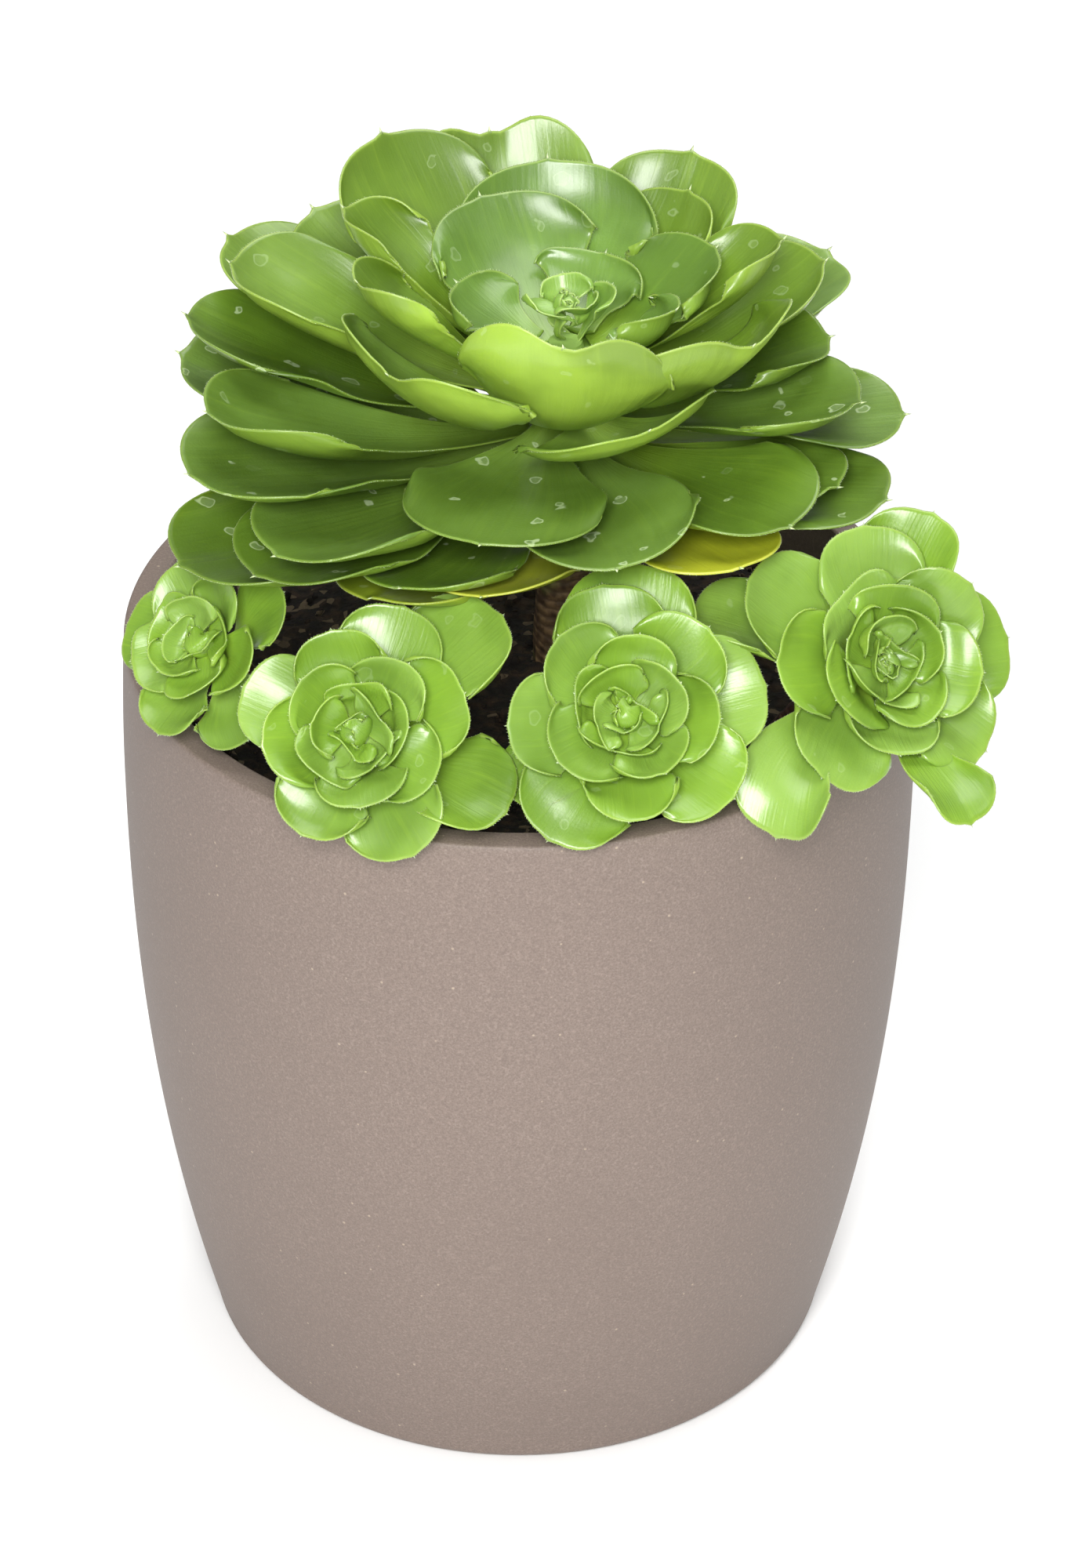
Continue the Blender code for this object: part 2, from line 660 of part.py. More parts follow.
def build_bud(coll, cutters, mat):
    """Build the central bud: the youngest leaves, still folded round the tip of the stem."""
    bud = Offset("central_bud", (STEM_X, STEM_Y, STEM_TOP_Z + 0.0068), 4, 180, 0.034, 6,
                 (STEM_X, STEM_Y), 200)
    frame = crown_frame(bud)
    centre = np.array(bud.crown)
    group = bpy.data.collections.new("central_bud_leaves")
    cutters.children.link(group)
    core = bpy.data.meshes.new("central_bud")
    verts = [(0, 0, 0.008), (0, 0, -0.0055)]
    faces = []
    sides = 10
    for r, z in ((0.0035, 0.004), (0.0042, 0.0), (0.0035, -0.004)):
        for k in range(sides):
            turn = math.tau * k / sides
            verts.append((r * math.cos(turn), r * math.sin(turn), z))
    for k in range(sides):
        n = (k + 1) % sides
        faces.append((0, 2 + k, 2 + n))
        faces.append((1, 22 + n, 22 + k))
        for i in (2, 12):
            faces.append((i + k, i + 10 + k, i + 10 + n, i + n))
    core.from_pydata([tuple(centre + frame @ np.array(v)) for v in verts], [], faces)
    smooth(core)
    obj = add_object("central_bud", core, coll, mat)
    for i in range(bud.leaves):
        age = i / (bud.leaves - 1)
        leaf = Leaf(f"bud_leaf_{i + 1}", bud.turn + 137.5 * i, 1.0 - 3.0 * age, 9 + 8 * age,
                    9 + 9 * age, 75 - 20 * age, 88 - 12 * age, 50)
        grid = leaf_grid(leaf, OFFSET_ACROSS, OFFSET_ALONG, (0.0, 0.0), 0.0015)
        blade = add_object(leaf.name, grid_mesh(leaf.name, centre + grid @ frame.T), group)
        thicken(add_cutter(blade), 0.0010)
    join = obj.modifiers.new("leaves", "BOOLEAN")
    join.operation = "UNION"
    join.solver = "EXACT"
    join.operand_type = "COLLECTION"
    join.collection = group


def main():
    """Build the potted succulent."""
    clear_scene()
    coll = new_collection("potted_succulent")
    cutters = new_collection("cutters", wire=True)
    build_pot(coll)
    build_soil(coll, cutters)
    stem_mat = material("succulent_stem", STEM_BROWN, 0.75)
    build_main_stem(coll, stem_mat)
    mats = {
        "inner": material("leaf_inner", GREEN_INNER, 0.38),
        "bowl": material("leaf_bowl", GREEN_BOWL, 0.38),
        "outer": material("leaf_outer", GREEN_OUTER, 0.42),
        "back": material("leaf_back", GREEN_OUTER, 0.42),
        "old": material("leaf_old", GREEN_OLD, 0.45),
    }
    build_leaves(coll, mats)
    build_bud(coll, cutters, material("leaf_bud", GREEN_INNER, 0.38))
    leaf_mat = material("leaf_offset", GREEN_OFFSET, 0.42)
    for item in OFFSETS:
        build_offset(item, coll, cutters, leaf_mat, stem_mat)


main()
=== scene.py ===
import logging
import math
from collections.abc import Callable, Iterator
from dataclasses import dataclass, field, replace
from enum import Enum

import bmesh
import bpy
import numpy as np
from mathutils import Matrix, Vector


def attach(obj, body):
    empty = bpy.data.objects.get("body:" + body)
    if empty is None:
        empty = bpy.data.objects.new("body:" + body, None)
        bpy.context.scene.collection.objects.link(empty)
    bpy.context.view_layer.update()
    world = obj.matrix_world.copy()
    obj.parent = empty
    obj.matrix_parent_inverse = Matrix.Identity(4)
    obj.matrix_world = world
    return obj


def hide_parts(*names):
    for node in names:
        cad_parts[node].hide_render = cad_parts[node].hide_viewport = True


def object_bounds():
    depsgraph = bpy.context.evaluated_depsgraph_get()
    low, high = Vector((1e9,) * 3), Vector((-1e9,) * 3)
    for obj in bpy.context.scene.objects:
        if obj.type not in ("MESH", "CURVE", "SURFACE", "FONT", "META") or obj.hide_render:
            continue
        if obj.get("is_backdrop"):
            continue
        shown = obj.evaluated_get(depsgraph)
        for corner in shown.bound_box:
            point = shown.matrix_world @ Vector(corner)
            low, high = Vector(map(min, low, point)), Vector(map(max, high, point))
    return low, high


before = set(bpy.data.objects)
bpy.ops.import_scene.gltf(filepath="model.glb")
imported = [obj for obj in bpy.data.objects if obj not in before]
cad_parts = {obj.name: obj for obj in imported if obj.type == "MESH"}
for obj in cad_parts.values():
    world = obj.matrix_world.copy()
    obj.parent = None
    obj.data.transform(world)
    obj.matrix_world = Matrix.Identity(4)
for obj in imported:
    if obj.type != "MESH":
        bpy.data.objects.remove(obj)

LOG = logging.getLogger("succulent")
ROOT = "root"

# ---------------------------------------------------------------- driving sizes, metres
POT_HEIGHT = 0.230
POT_RIM_R = 0.110
POT_BELLY_R = 0.1115
POT_BELLY_Z = 0.185
POT_FOOT_R = 0.0905
POT_FOOT_ROUND = 0.005
POT_WALL = 0.0078
POT_FLOOR = 0.010
RIM_ROUND = 0.0012
SOIL_DROP = 0.024
SOIL_MOUND = 0.004
FIT = 0.0003
STEM_X = 0.012
STEM_Y = 0.010
STEM_R = 0.0085
STEM_TOP_Z = 0.3135
BUD_LIFT = 0.0068
OFFSET_CORE_R = 0.0042
LEAF_THICK = 0.0016
LEAF_CLEAR = 0.0012
LEAF_NECK = 0.15
LEAF_NECK_CUP = 15.0
TIP_BOW = 0.47
TIP_BLUNT = 2.4
NOTCH_SPREAD = 0.35
POINT_RISE = 0.015
POINT_SPREAD = 0.08
SPINE_STEPS = 48
ROOT_STEP = 0.0023
ROOT_REACH = 52.0
EASE_SWEEPS = 30
ACROSS = (-1.0, -0.62, 0.0, 0.62, 1.0)
ALONG = (0.0, 0.16, 0.34, 0.52, 0.70, 0.86, 1.0)


class LeafKind(Enum):
    """Where a leaf sits in the large rosette."""

    INNER = "inner"
    BOWL = "bowl"
    OUTER = "outer"
    BACK = "back"
    OLD = "old"


# what every mix and every range here is set to: colours, and an eased step
USUAL = {"Mix": {"data_type": "RGBA"}, "MapRange": {"interpolation_type": "SMOOTHSTEP"}}


# ---------------------------------------------------------------- small helpers
def linear(code: str) -> tuple[float, float, float, float]:
    """Turn an sRGB hex colour into linear light.

    Args:
        code: colour as "#rrggbb".

    Returns:
        Linear red, green, blue and an alpha of 1.
    """
    values = [int(code[i:i + 2], 16) / 255 for i in (1, 3, 5)]
    light = [v / 12.92 if v <= 0.04045 else ((v + 0.055) / 1.055) ** 2.4 for v in values]
    return (*light, 1.0)


def add(tree: bpy.types.NodeTree, kind: str, inputs: dict | None = None, out: int | None = None,
        **settings) -> bpy.types.Node | bpy.types.NodeSocket:
    """Add a shader node, set its properties and fill its sockets.

    Args:
        tree: node tree that gets the node.
        kind: node type without its "ShaderNode", such as "Mix".
        inputs: socket name or number to a value, or to an output socket to link.
        out: number of the output that is wanted; without it the node itself is given.
        settings: node properties by name, past those in USUAL.

    Returns:
        The new node, or one of its outputs.
    """
    item = tree.nodes.new("ShaderNode" + kind)
    for key, value in (USUAL.get(kind, {}) | settings).items():
        setattr(item, key, value)
    for key, value in (inputs or {}).items():
        if isinstance(value, bpy.types.NodeSocket):
            tree.links.new(value, item.inputs[key])
        else:
            item.inputs[key].default_value = value
    return item if out is None else item.outputs[out]


def new_material(name: str) -> tuple[bpy.types.Material, bpy.types.NodeTree, bpy.types.Node]:
    """Make an empty Principled material.

    Args:
        name: the finish's real name.

    Returns:
        The material, its node tree and its Principled shader.
    """
    mat = bpy.data.materials.new(name)
    mat.use_nodes = True
    tree = mat.node_tree
    return mat, tree, tree.nodes["Principled BSDF"]


def link_object(name: str, mesh: bpy.types.Mesh, mat: bpy.types.Material) -> bpy.types.Object:
    """Put a mesh in the scene with its material, shaded smooth.

    Args:
        name: the piece's name.
        mesh: its mesh.
        mat: its material.

    Returns:
        The new object.
    """
    obj = bpy.data.objects.new(name, mesh)
    bpy.context.scene.collection.objects.link(obj)
    mesh.materials.append(mat)
    mesh.polygons.foreach_set("use_smooth", [True] * len(mesh.polygons))
    return obj


def stand_for(obj: bpy.types.Object, node: str) -> None:
    """Let a piece ride on the root in place of a solid, and report it.

    Args:
        obj: the piece.
        node: the solid that it stands for.
    """
    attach(obj, ROOT)
    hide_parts(node)
    LOG.info("%s: %d faces", obj.name, len(obj.data.polygons))


def smoothstep(x: np.ndarray) -> np.ndarray:
    """Ease x from 0 to 1."""
    x = np.clip(x, 0.0, 1.0)
    return x * x * (3 - 2 * x)


# ---------------------------------------------------------------- finishes
@dataclass(frozen=True)
class LeafSkin:
    """Living leaf with a thin wax film: fleshy, slightly see-through, semi-gloss.

    The wax gives soft whitish highlights, the flesh a yellow-green glow where it is thin or near the
    neck, and the margin a fine pale line with hairs.
    """

    name: str
    upper: str
    under: str
    glow: str
    deep: str
    margin: str
    # bloom colour: real wax bloom together with a painted bluish sheen on the upper faces
    bloom_and_sheen: str = "#94b45c"
    roughness: float = 0.36
    glow_reach: float = 0.55
    spots: float = 0.15
    flecks: float = 0.0
    rim: float = 0.4

    def build(self) -> bpy.types.Material:
        """Build the material.

        Returns:
            The finished material.
        """
        mat, t, shader = new_material(self.name)
        blade = add(t, "Attribute", attribute_name="blade").outputs["Vector"]
        place = add(t, "Attribute", attribute_name="place").outputs["Vector"]
        along, across, edge = add(t, "SeparateXYZ", {0: blade}).outputs
        upper, hair, luck = add(t, "SeparateXYZ", {0: place}).outputs
        where = add(t, "TexCoord").outputs["Object"]
        # soft clouds of darker and lighter green, about 30 mm across
        cloud = add(t, "TexNoise", {"Vector": where, "Scale": 34.0, "Detail": 3.0}, 0)
        # veins: faint lines that run from the neck to the tip, about 1.5 mm apart
        column = add(t, "Math", {0: across, 1: 15.0}, 0, operation="MULTIPLY")
        row = add(t, "Math", {0: along, 1: 2.0}, 0, operation="MULTIPLY")
        layer = add(t, "Math", {0: luck, 1: 37.0}, 0, operation="MULTIPLY")
        line = add(t, "CombineXYZ", {0: column, 1: row, 2: layer}, 0)
        vein = add(t, "TexNoise", {"Vector": line, "Scale": 1.0, "Detail": 3.0}, 0)
        # pores: a grain of about 0.7 mm
        grain = add(t, "TexNoise", {"Vector": where, "Scale": 1400.0, "Detail": 2.0}, 0)

        # paler underside, and a yellow-green glow near the neck
        colour = add(t, "Mix", {0: upper, 6: linear(self.under), 7: linear(self.upper)}, 2)
        near = add(t, "MapRange", {0: along, 1: self.glow_reach, 2: 0.05, 3: 0.0, 4: 0.75}, 0)
        colour = add(t, "Mix", {0: near, 6: colour, 7: linear(self.glow)}, 2)
        shade = add(t, "MapRange", {0: cloud, 1: 0.40, 2: 0.66, 3: 0.0, 4: 0.5}, 0)
        colour = add(t, "Mix", {0: shade, 6: colour, 7: linear(self.deep)}, 2)
        thread = add(t, "MapRange", {0: vein, 1: 0.5, 2: 0.8, 3: 0.0, 4: 0.16}, 0)
        colour = add(t, "Mix", {0: thread, 6: colour, 7: linear(self.glow)}, 2)
        darker = add(t, "Math", {0: luck, 1: 0.22}, 0, operation="MULTIPLY")
        colour = add(t, "Mix", {0: darker, 6: colour, 7: linear(self.deep)}, 2)
        # wax bloom and painted sheen: some leaves carry more of it, which makes their upper faces paler
        # and bluer; the colour is partly real wax bloom and partly a painted bluish sheen
        bloom_and_sheen_amount = add(t, "MapRange", {0: luck, 1: 0.35, 2: 0.95, 3: 0.04, 4: 0.5}, 0)
        bloom_and_sheen_patches = add(t, "MapRange", {0: cloud, 1: 0.62, 2: 0.38, 3: 0.4, 4: 1.0}, 0)
        wax = add(t, "Math", {0: bloom_and_sheen_amount, 1: bloom_and_sheen_patches}, 0, operation="MULTIPLY")
        wax = add(t, "Math", {0: wax, 1: upper}, 0, operation="MULTIPLY")
        colour = add(t, "Mix", {0: wax, 6: colour, 7: linear(self.bloom_and_sheen)}, 2)
        # dried water drops: pale rings of 2 to 4 mm
        ripple = add(t, "TexNoise", {"Vector": where, "Scale": 230.0, "Detail": 1.0}).outputs["Color"]
        nudge = add(t, "VectorMath", {0: ripple, 3: 0.0045}, 0, operation="SCALE")
        moved = add(t, "VectorMath", {0: where, 1: nudge}, 0, operation="ADD")
        drop = add(t, "TexVoronoi", {"Vector": moved, "Scale": 135.0, "Randomness": 1.0})
        pick = add(t, "SeparateXYZ", {0: drop.outputs["Color"]}).outputs
        size = add(t, "Math", {0: pick[1], 1: 0.16, 2: 0.12}, 0, operation="MULTIPLY_ADD")
        past = add(t, "Math", {0: drop.outputs["Distance"], 1: size}, 0, operation="SUBTRACT")
        off = add(t, "Math", {0: past}, 0, operation="ABSOLUTE")
        ring = add(t, "MapRange", {0: off, 1: 0.055, 2: 0.012}, 0)
        disc = add(t, "MapRange", {0: past, 1: 0.0, 2: -0.03, 3: 0.0, 4: 0.25}, 0)
        mark = add(t, "Math", {0: ring, 1: disc}, 0, operation="MAXIMUM")
        chosen = add(t, "MapRange", {0: pick[0], 1: 0.74, 2: 0.78}, 0)
        mark = add(t, "Math", {0: mark, 1: chosen}, 0, operation="MULTIPLY")
        mark = add(t, "Math", {0: mark, 1: self.spots}, 0, operation="MULTIPLY")
        colour = add(t, "Mix", {0: mark, 6: colour, 7: linear("#cfe0b4")}, 2)
        # brown flecks of about 1 mm
        speck = add(t, "TexVoronoi", {"Vector": where, "Scale": 190.0, "Randomness": 1.0})
        spot = add(t, "MapRange", {0: speck.outputs["Distance"], 1: 0.16, 2: 0.05}, 0)
        chance = add(t, "SeparateXYZ", {0: speck.outputs["Color"]}, 0)
        few = add(t, "MapRange", {0: chance, 1: 0.86, 2: 0.9, 3: 0.0, 4: self.flecks}, 0)
        brown = add(t, "Math", {0: spot, 1: few}, 0, operation="MULTIPLY")
        colour = add(t, "Mix", {0: brown, 6: colour, 7: linear("#5d3d14")}, 2)
        # fine pale margin and its hairs
        rim = add(t, "MapRange", {0: edge, 1: 0.6, 2: 0.1, 3: 0.0, 4: self.rim}, 0)
        colour = add(t, "Mix", {0: rim, 6: colour, 7: linear(self.margin)}, 2)
        colour = add(t, "Mix", {0: hair, 6: colour, 7: linear("#c4d898")}, 2)
        t.links.new(colour, shader.inputs["Base Color"])

        low, high = self.roughness - 0.05, self.roughness + 0.08
        gloss = add(t, "MapRange", {0: cloud, 1: 0.3, 2: 0.7, 3: low, 4: high}, 0)
        dull = add(t, "Math", {0: mark, 1: 0.25}, 0, operation="MULTIPLY")
        rough = add(t, "Math", {0: gloss, 1: dull}, 0, operation="ADD")
        t.links.new(rough, shader.inputs["Roughness"])
        ridge = add(t, "Math", {0: vein, 1: 0.8}, 0, operation="MULTIPLY")
        pore = add(t, "Math", {0: grain, 1: 0.2}, 0, operation="MULTIPLY")
        height = add(t, "Math", {0: ridge, 1: pore}, 0, operation="ADD")
        relief = add(t, "Bump", {"Height": height, "Strength": 1.0, "Distance": 0.00022}, 0)
        t.links.new(relief, shader.inputs["Normal"])
        shader.inputs["IOR"].default_value = 1.4
        shader.inputs["Coat Weight"].default_value = 0.4
        shader.inputs["Coat Roughness"].default_value = 0.22
        shader.inputs["Subsurface Weight"].default_value = 0.28
        shader.inputs["Subsurface Radius"].default_value = (1.0, 0.9, 0.2)
        shader.inputs["Subsurface Scale"].default_value = 0.003
        return mat


@dataclass(frozen=True)
class FiredClay:
    """Fired clay with a matt engobe: taupe, with a fine mineral grain that sparkles a little."""

    name: str = "fired_clay_matt_taupe"
    body: str = "#7f7067"
    dark: str = "#6c5e56"
    light: str = "#93857b"

    def build(self) -> bpy.types.Material:
        """Build the material.

        Returns:
            The finished material.
        """
        mat, t, shader = new_material(self.name)
        where = add(t, "TexCoord").outputs["Object"]
        # grit of about 0.5 mm, the finest that still shows
        grit = add(t, "TexNoise", {"Vector": where, "Scale": 1900.0, "Detail": 3.0, "Roughness": 0.7}, 0)
        sand = add(t, "TexNoise", {"Vector": where, "Scale": 1200.0, "Detail": 2.0}, 0)
        # uneven coat, in clouds of about 60 mm
        coat = add(t, "TexNoise", {"Vector": where, "Scale": 16.0, "Detail": 3.0}, 0)
        dots = add(t, "MapRange", {0: grit, 1: 0.35, 2: 0.65}, 0)
        colour = add(t, "Mix", {0: dots, 6: linear(self.dark), 7: linear(self.body)}, 2)
        pale = add(t, "MapRange", {0: sand, 1: 0.5, 2: 0.75, 3: 0.0, 4: 0.45}, 0)
        colour = add(t, "Mix", {0: pale, 6: colour, 7: linear(self.light)}, 2)
        cloud = add(t, "MapRange", {0: coat, 1: 0.4, 2: 0.7, 3: 0.0, 4: 0.18}, 0)
        colour = add(t, "Mix", {0: cloud, 6: colour, 7: linear(self.dark)}, 2)
        # bright mineral flecks, 0.5 to 1 mm, about one to each square centimetre
        fleck = add(t, "TexVoronoi", {"Vector": where, "Scale": 420.0, "Randomness": 1.0})
        spot = add(t, "MapRange", {0: fleck.outputs["Distance"], 1: 0.22, 2: 0.1}, 0)
        chance = add(t, "SeparateXYZ", {0: fleck.outputs["Color"]}, 0)
        few = add(t, "MapRange", {0: chance, 1: 0.95, 2: 0.97}, 0)
        bright = add(t, "Math", {0: spot, 1: few}, 0, operation="MULTIPLY")
        bright = add(t, "Math", {0: bright, 1: 0.4}, 0, operation="MULTIPLY")
        colour = add(t, "Mix", {0: bright, 6: colour, 7: linear("#c9b8a0")}, 2)
        t.links.new(colour, shader.inputs["Base Color"])
        rough = add(t, "MapRange", {0: grit, 1: 0.3, 2: 0.7, 3: 0.5, 4: 0.66}, 0)
        t.links.new(rough, shader.inputs["Roughness"])
        coarse = add(t, "Math", {0: grit, 1: 0.6}, 0, operation="MULTIPLY")
        fine = add(t, "Math", {0: sand, 1: 0.4}, 0, operation="MULTIPLY")
        height = add(t, "Math", {0: coarse, 1: fine}, 0, operation="ADD")
        relief = add(t, "Bump", {"Height": height, "Strength": 1.0, "Distance": 0.00016}, 0)
        t.links.new(relief, shader.inputs["Normal"])
        return mat


@dataclass(frozen=True)
class PottingMix:
    """Peat and bark fines, damp: near black, with brown fibres and a few pale grains."""

    name: str = "potting_mix_damp"

    def build(self) -> bpy.types.Material:
        """Build the material.

        Returns:
            The finished material.
        """
        mat, t, shader = new_material(self.name)
        where = add(t, "TexCoord").outputs["Object"]
        clod = add(t, "TexNoise", {"Vector": where, "Scale": 260.0, "Detail": 5.0}, 0)
        crumb = add(t, "TexVoronoi", {"Vector": where, "Scale": 420.0, "Randomness": 1.0})
        damp = add(t, "MapRange", {0: clod, 1: 0.4, 2: 0.7}, 0)
        colour = add(t, "Mix", {0: damp, 6: linear("#17110c"), 7: linear("#3a2a1c")}, 2)
        chance = add(t, "SeparateXYZ", {0: crumb.outputs["Color"]}, 0)
        pale = add(t, "MapRange", {0: chance, 1: 0.93, 2: 0.96, 3: 0.0, 4: 0.5}, 0)
        colour = add(t, "Mix", {0: pale, 6: colour, 7: linear("#8a7860")}, 2)
        t.links.new(colour, shader.inputs["Base Color"])
        shader.inputs["Roughness"].default_value = 0.9
        height = add(t, "Math", {0: clod, 1: crumb.outputs["Distance"]}, 0, operation="ADD")
        relief = add(t, "Bump", {"Height": height, "Strength": 1.0, "Distance": 0.0012}, 0)
        t.links.new(relief, shader.inputs["Normal"])
        return mat


@dataclass(frozen=True)
class StemBark:
    """Young bark of a soft stem: tan to purple-brown, matt, ringed with leaf scars."""

    name: str
    body: str
    dark: str
    fresh: str

    def build(self) -> bpy.types.Material:
        """Build the material.

        Returns:
            The finished material.
        """
        mat, t, shader = new_material(self.name)
        where = add(t, "TexCoord").outputs["Object"]
        # scars ring the stem every 3 mm or so
        scar = add(t, "TexWave", {"Vector": where, "Scale": 105.0, "Distortion": 5.0, "Detail": 2.0}, 1,
                   bands_direction="Z")
        skin = add(t, "TexNoise", {"Vector": where, "Scale": 300.0, "Detail": 4.0}, 0)
        patch = add(t, "TexNoise", {"Vector": where, "Scale": 70.0}, 0)
        rind = add(t, "MapRange", {0: skin, 1: 0.35, 2: 0.7}, 0)
        colour = add(t, "Mix", {0: rind, 6: linear(self.dark), 7: linear(self.body)}, 2)
        young = add(t, "MapRange", {0: patch, 1: 0.45, 2: 0.65, 3: 0.0, 4: 0.5}, 0)
        colour = add(t, "Mix", {0: young, 6: colour, 7: linear(self.fresh)}, 2)
        ring = add(t, "MapRange", {0: scar, 1: 0.72, 2: 0.95, 3: 0.0, 4: 0.6}, 0)
        colour = add(t, "Mix", {0: ring, 6: colour, 7: linear(self.dark)}, 2)
        # the newest part, above the leaf scars, is still green
        height = add(t, "SeparateXYZ", {0: where}, 2)
        newest = add(t, "MapRange", {0: height, 1: 0.278, 2: 0.300}, 0)
        colour = add(t, "Mix", {0: newest, 6: colour, 7: linear("#86a84a")}, 2)
        t.links.new(colour, shader.inputs["Base Color"])
        shader.inputs["Roughness"].default_value = 0.62
        groove = add(t, "Math", {0: scar, 1: -0.6}, 0, operation="MULTIPLY")
        height = add(t, "Math", {0: skin, 1: groove}, 0, operation="ADD")
        relief = add(t, "Bump", {"Height": height, "Strength": 1.0, "Distance": 0.0005}, 0)
        t.links.new(relief, shader.inputs["Normal"])
        return mat


# ---------------------------------------------------------------- leaf outline and blade
@dataclass(frozen=True)
class Leaf:
    """One leaf: millimetres and degrees, azimuth 0 at the front, 90 at the right."""

    name: str
    azimuth: float
    root_z: float
    length: float
    width: float
    rise_root: float
    rise_tip: float
    cup: float = 30.0
    notch: float = 0.0
    power: float = 1.3
    twist: float = 0.0
    bend: float = 0.0
    neck: float = LEAF_NECK

    def surface(self, across: np.ndarray, along: np.ndarray, origin: tuple, neck_r: float) -> np.ndarray:
        """Work out points of the upper face.

        Args:
            across: places across the blade, -1 to 1.
            along: places from neck to tip, 0 to 1.
            origin: x and y of the stem.
            neck_r: distance of the neck from the stem's middle.

        Returns:
            Points as an array [along, across, xyz].
        """
        u = np.linspace(0.0, 1.0, SPINE_STEPS + 1)
        mid = (u[1:] + u[:-1]) / 2
        rise = self.rise_tip - self.rise_root
        e = np.radians(self.rise_root + rise * mid ** self.power)
        a = np.radians(self.azimuth + self.bend * mid)
        d = np.c_[np.cos(e) * np.sin(a), -np.cos(e) * np.cos(a), np.sin(e)]
        d = d * (self.length / 1000 / SPINE_STEPS)
        turn = math.radians(self.azimuth)
        start = np.array([origin[0] + neck_r * math.sin(turn),
                          origin[1] - neck_r * math.cos(turn), self.root_z / 1000])
        spine = np.vstack([start, start + np.cumsum(d, axis=0)])
        e = np.radians(self.rise_root + rise * u ** self.power)
        a = np.radians(self.azimuth + self.bend * u)
        tangent = np.c_[np.cos(e) * np.sin(a), -np.cos(e) * np.cos(a), np.sin(e)]
        side = np.c_[np.cos(a), np.sin(a), 0 * a]
        upper = np.cross(tangent, side)
        roll = (np.radians(self.twist) * u ** 1.4)[:, None]
        side, upper = (side * np.cos(roll) + upper * np.sin(roll),
                       upper * np.cos(roll) - side * np.sin(roll))
        s = np.asarray(along)[:, None]
        t = np.asarray(across)[None, :]
        bow = 1 - np.maximum(0.0, 1 - np.abs(t) ** TIP_BLUNT) ** (1 / TIP_BLUNT)
        y = s - TIP_BOW * self.width / self.length * s ** 3 * bow
        y = y - self.notch * s ** 4 * np.exp(-(t / NOTCH_SPREAD) ** 2)
        y = np.clip(y + POINT_RISE * s ** 14 * np.exp(-(t / POINT_SPREAD) ** 2), 0.0, 1.02)
        k = smoothstep(s / 0.82)
        w = self.width / 2000 * (self.neck + (1 - self.neck) * k ** 1.15) + 0 * t
        phi = np.radians(LEAF_NECK_CUP + (self.cup - LEAF_NECK_CUP) * np.clip(y / 0.6, 0.0, 1.0))
        out = (w / phi * np.sin(phi * t))[..., None]
        lift = (w / phi * (1 - np.cos(phi * t)))[..., None]
        place = np.clip(y, 0.0, 1.0) * SPINE_STEPS
        low = np.minimum(place.astype(int), SPINE_STEPS - 1)
        part = (place - low)[..., None]

        def at(curve: np.ndarray) -> np.ndarray:
            """Read a curve at each point's place."""
            return curve[low] * (1 - part) + curve[low + 1] * part

        past = np.clip(y - 1, 0.0, 1.0)[..., None] * self.length / 1000
        return at(spine) + at(tangent) * past + at(side) * out + at(upper) * lift


def upper_normals(points: np.ndarray) -> np.ndarray:
    """Work out unit normals of a grid's upper face.

    Args:
        points: grid [along, across, xyz].

    Returns:
        Normals in the same layout.
    """
    n = np.cross(np.gradient(points, axis=0), np.gradient(points, axis=1))
    return n / (np.linalg.norm(n, axis=-1, keepdims=True) + 1e-12)


def spline_weights(knots: tuple, places: np.ndarray) -> np.ndarray:
    """Work out weights that read a smooth curve through knots.

    Args:
        knots: places of the knots, rising.
        places: where the curve is read.

    Returns:
        Array [place, knot].
    """
    x = np.asarray(knots, float)
    count = len(x)
    slope = np.zeros((count, count))
    for i in range(count):
        a, b = max(i - 1, 0), min(i + 1, count - 1)
        slope[i, b] += 1 / (x[b] - x[a])
        slope[i, a] -= 1 / (x[b] - x[a])
    result = np.zeros((len(places), count))
    for r, p in enumerate(places):
        k = int(np.clip(np.searchsorted(x, p) - 1, 0, count - 2))
        h = x[k + 1] - x[k]
        u = (p - x[k]) / h
        result[r, k] += 2 * u ** 3 - 3 * u ** 2 + 1
        result[r, k + 1] += 3 * u ** 2 - 2 * u ** 3
        result[r] += (u ** 3 - 2 * u ** 2 + u) * h * slope[k]
        result[r] += (u ** 3 - u ** 2) * h * slope[k + 1]
    return result


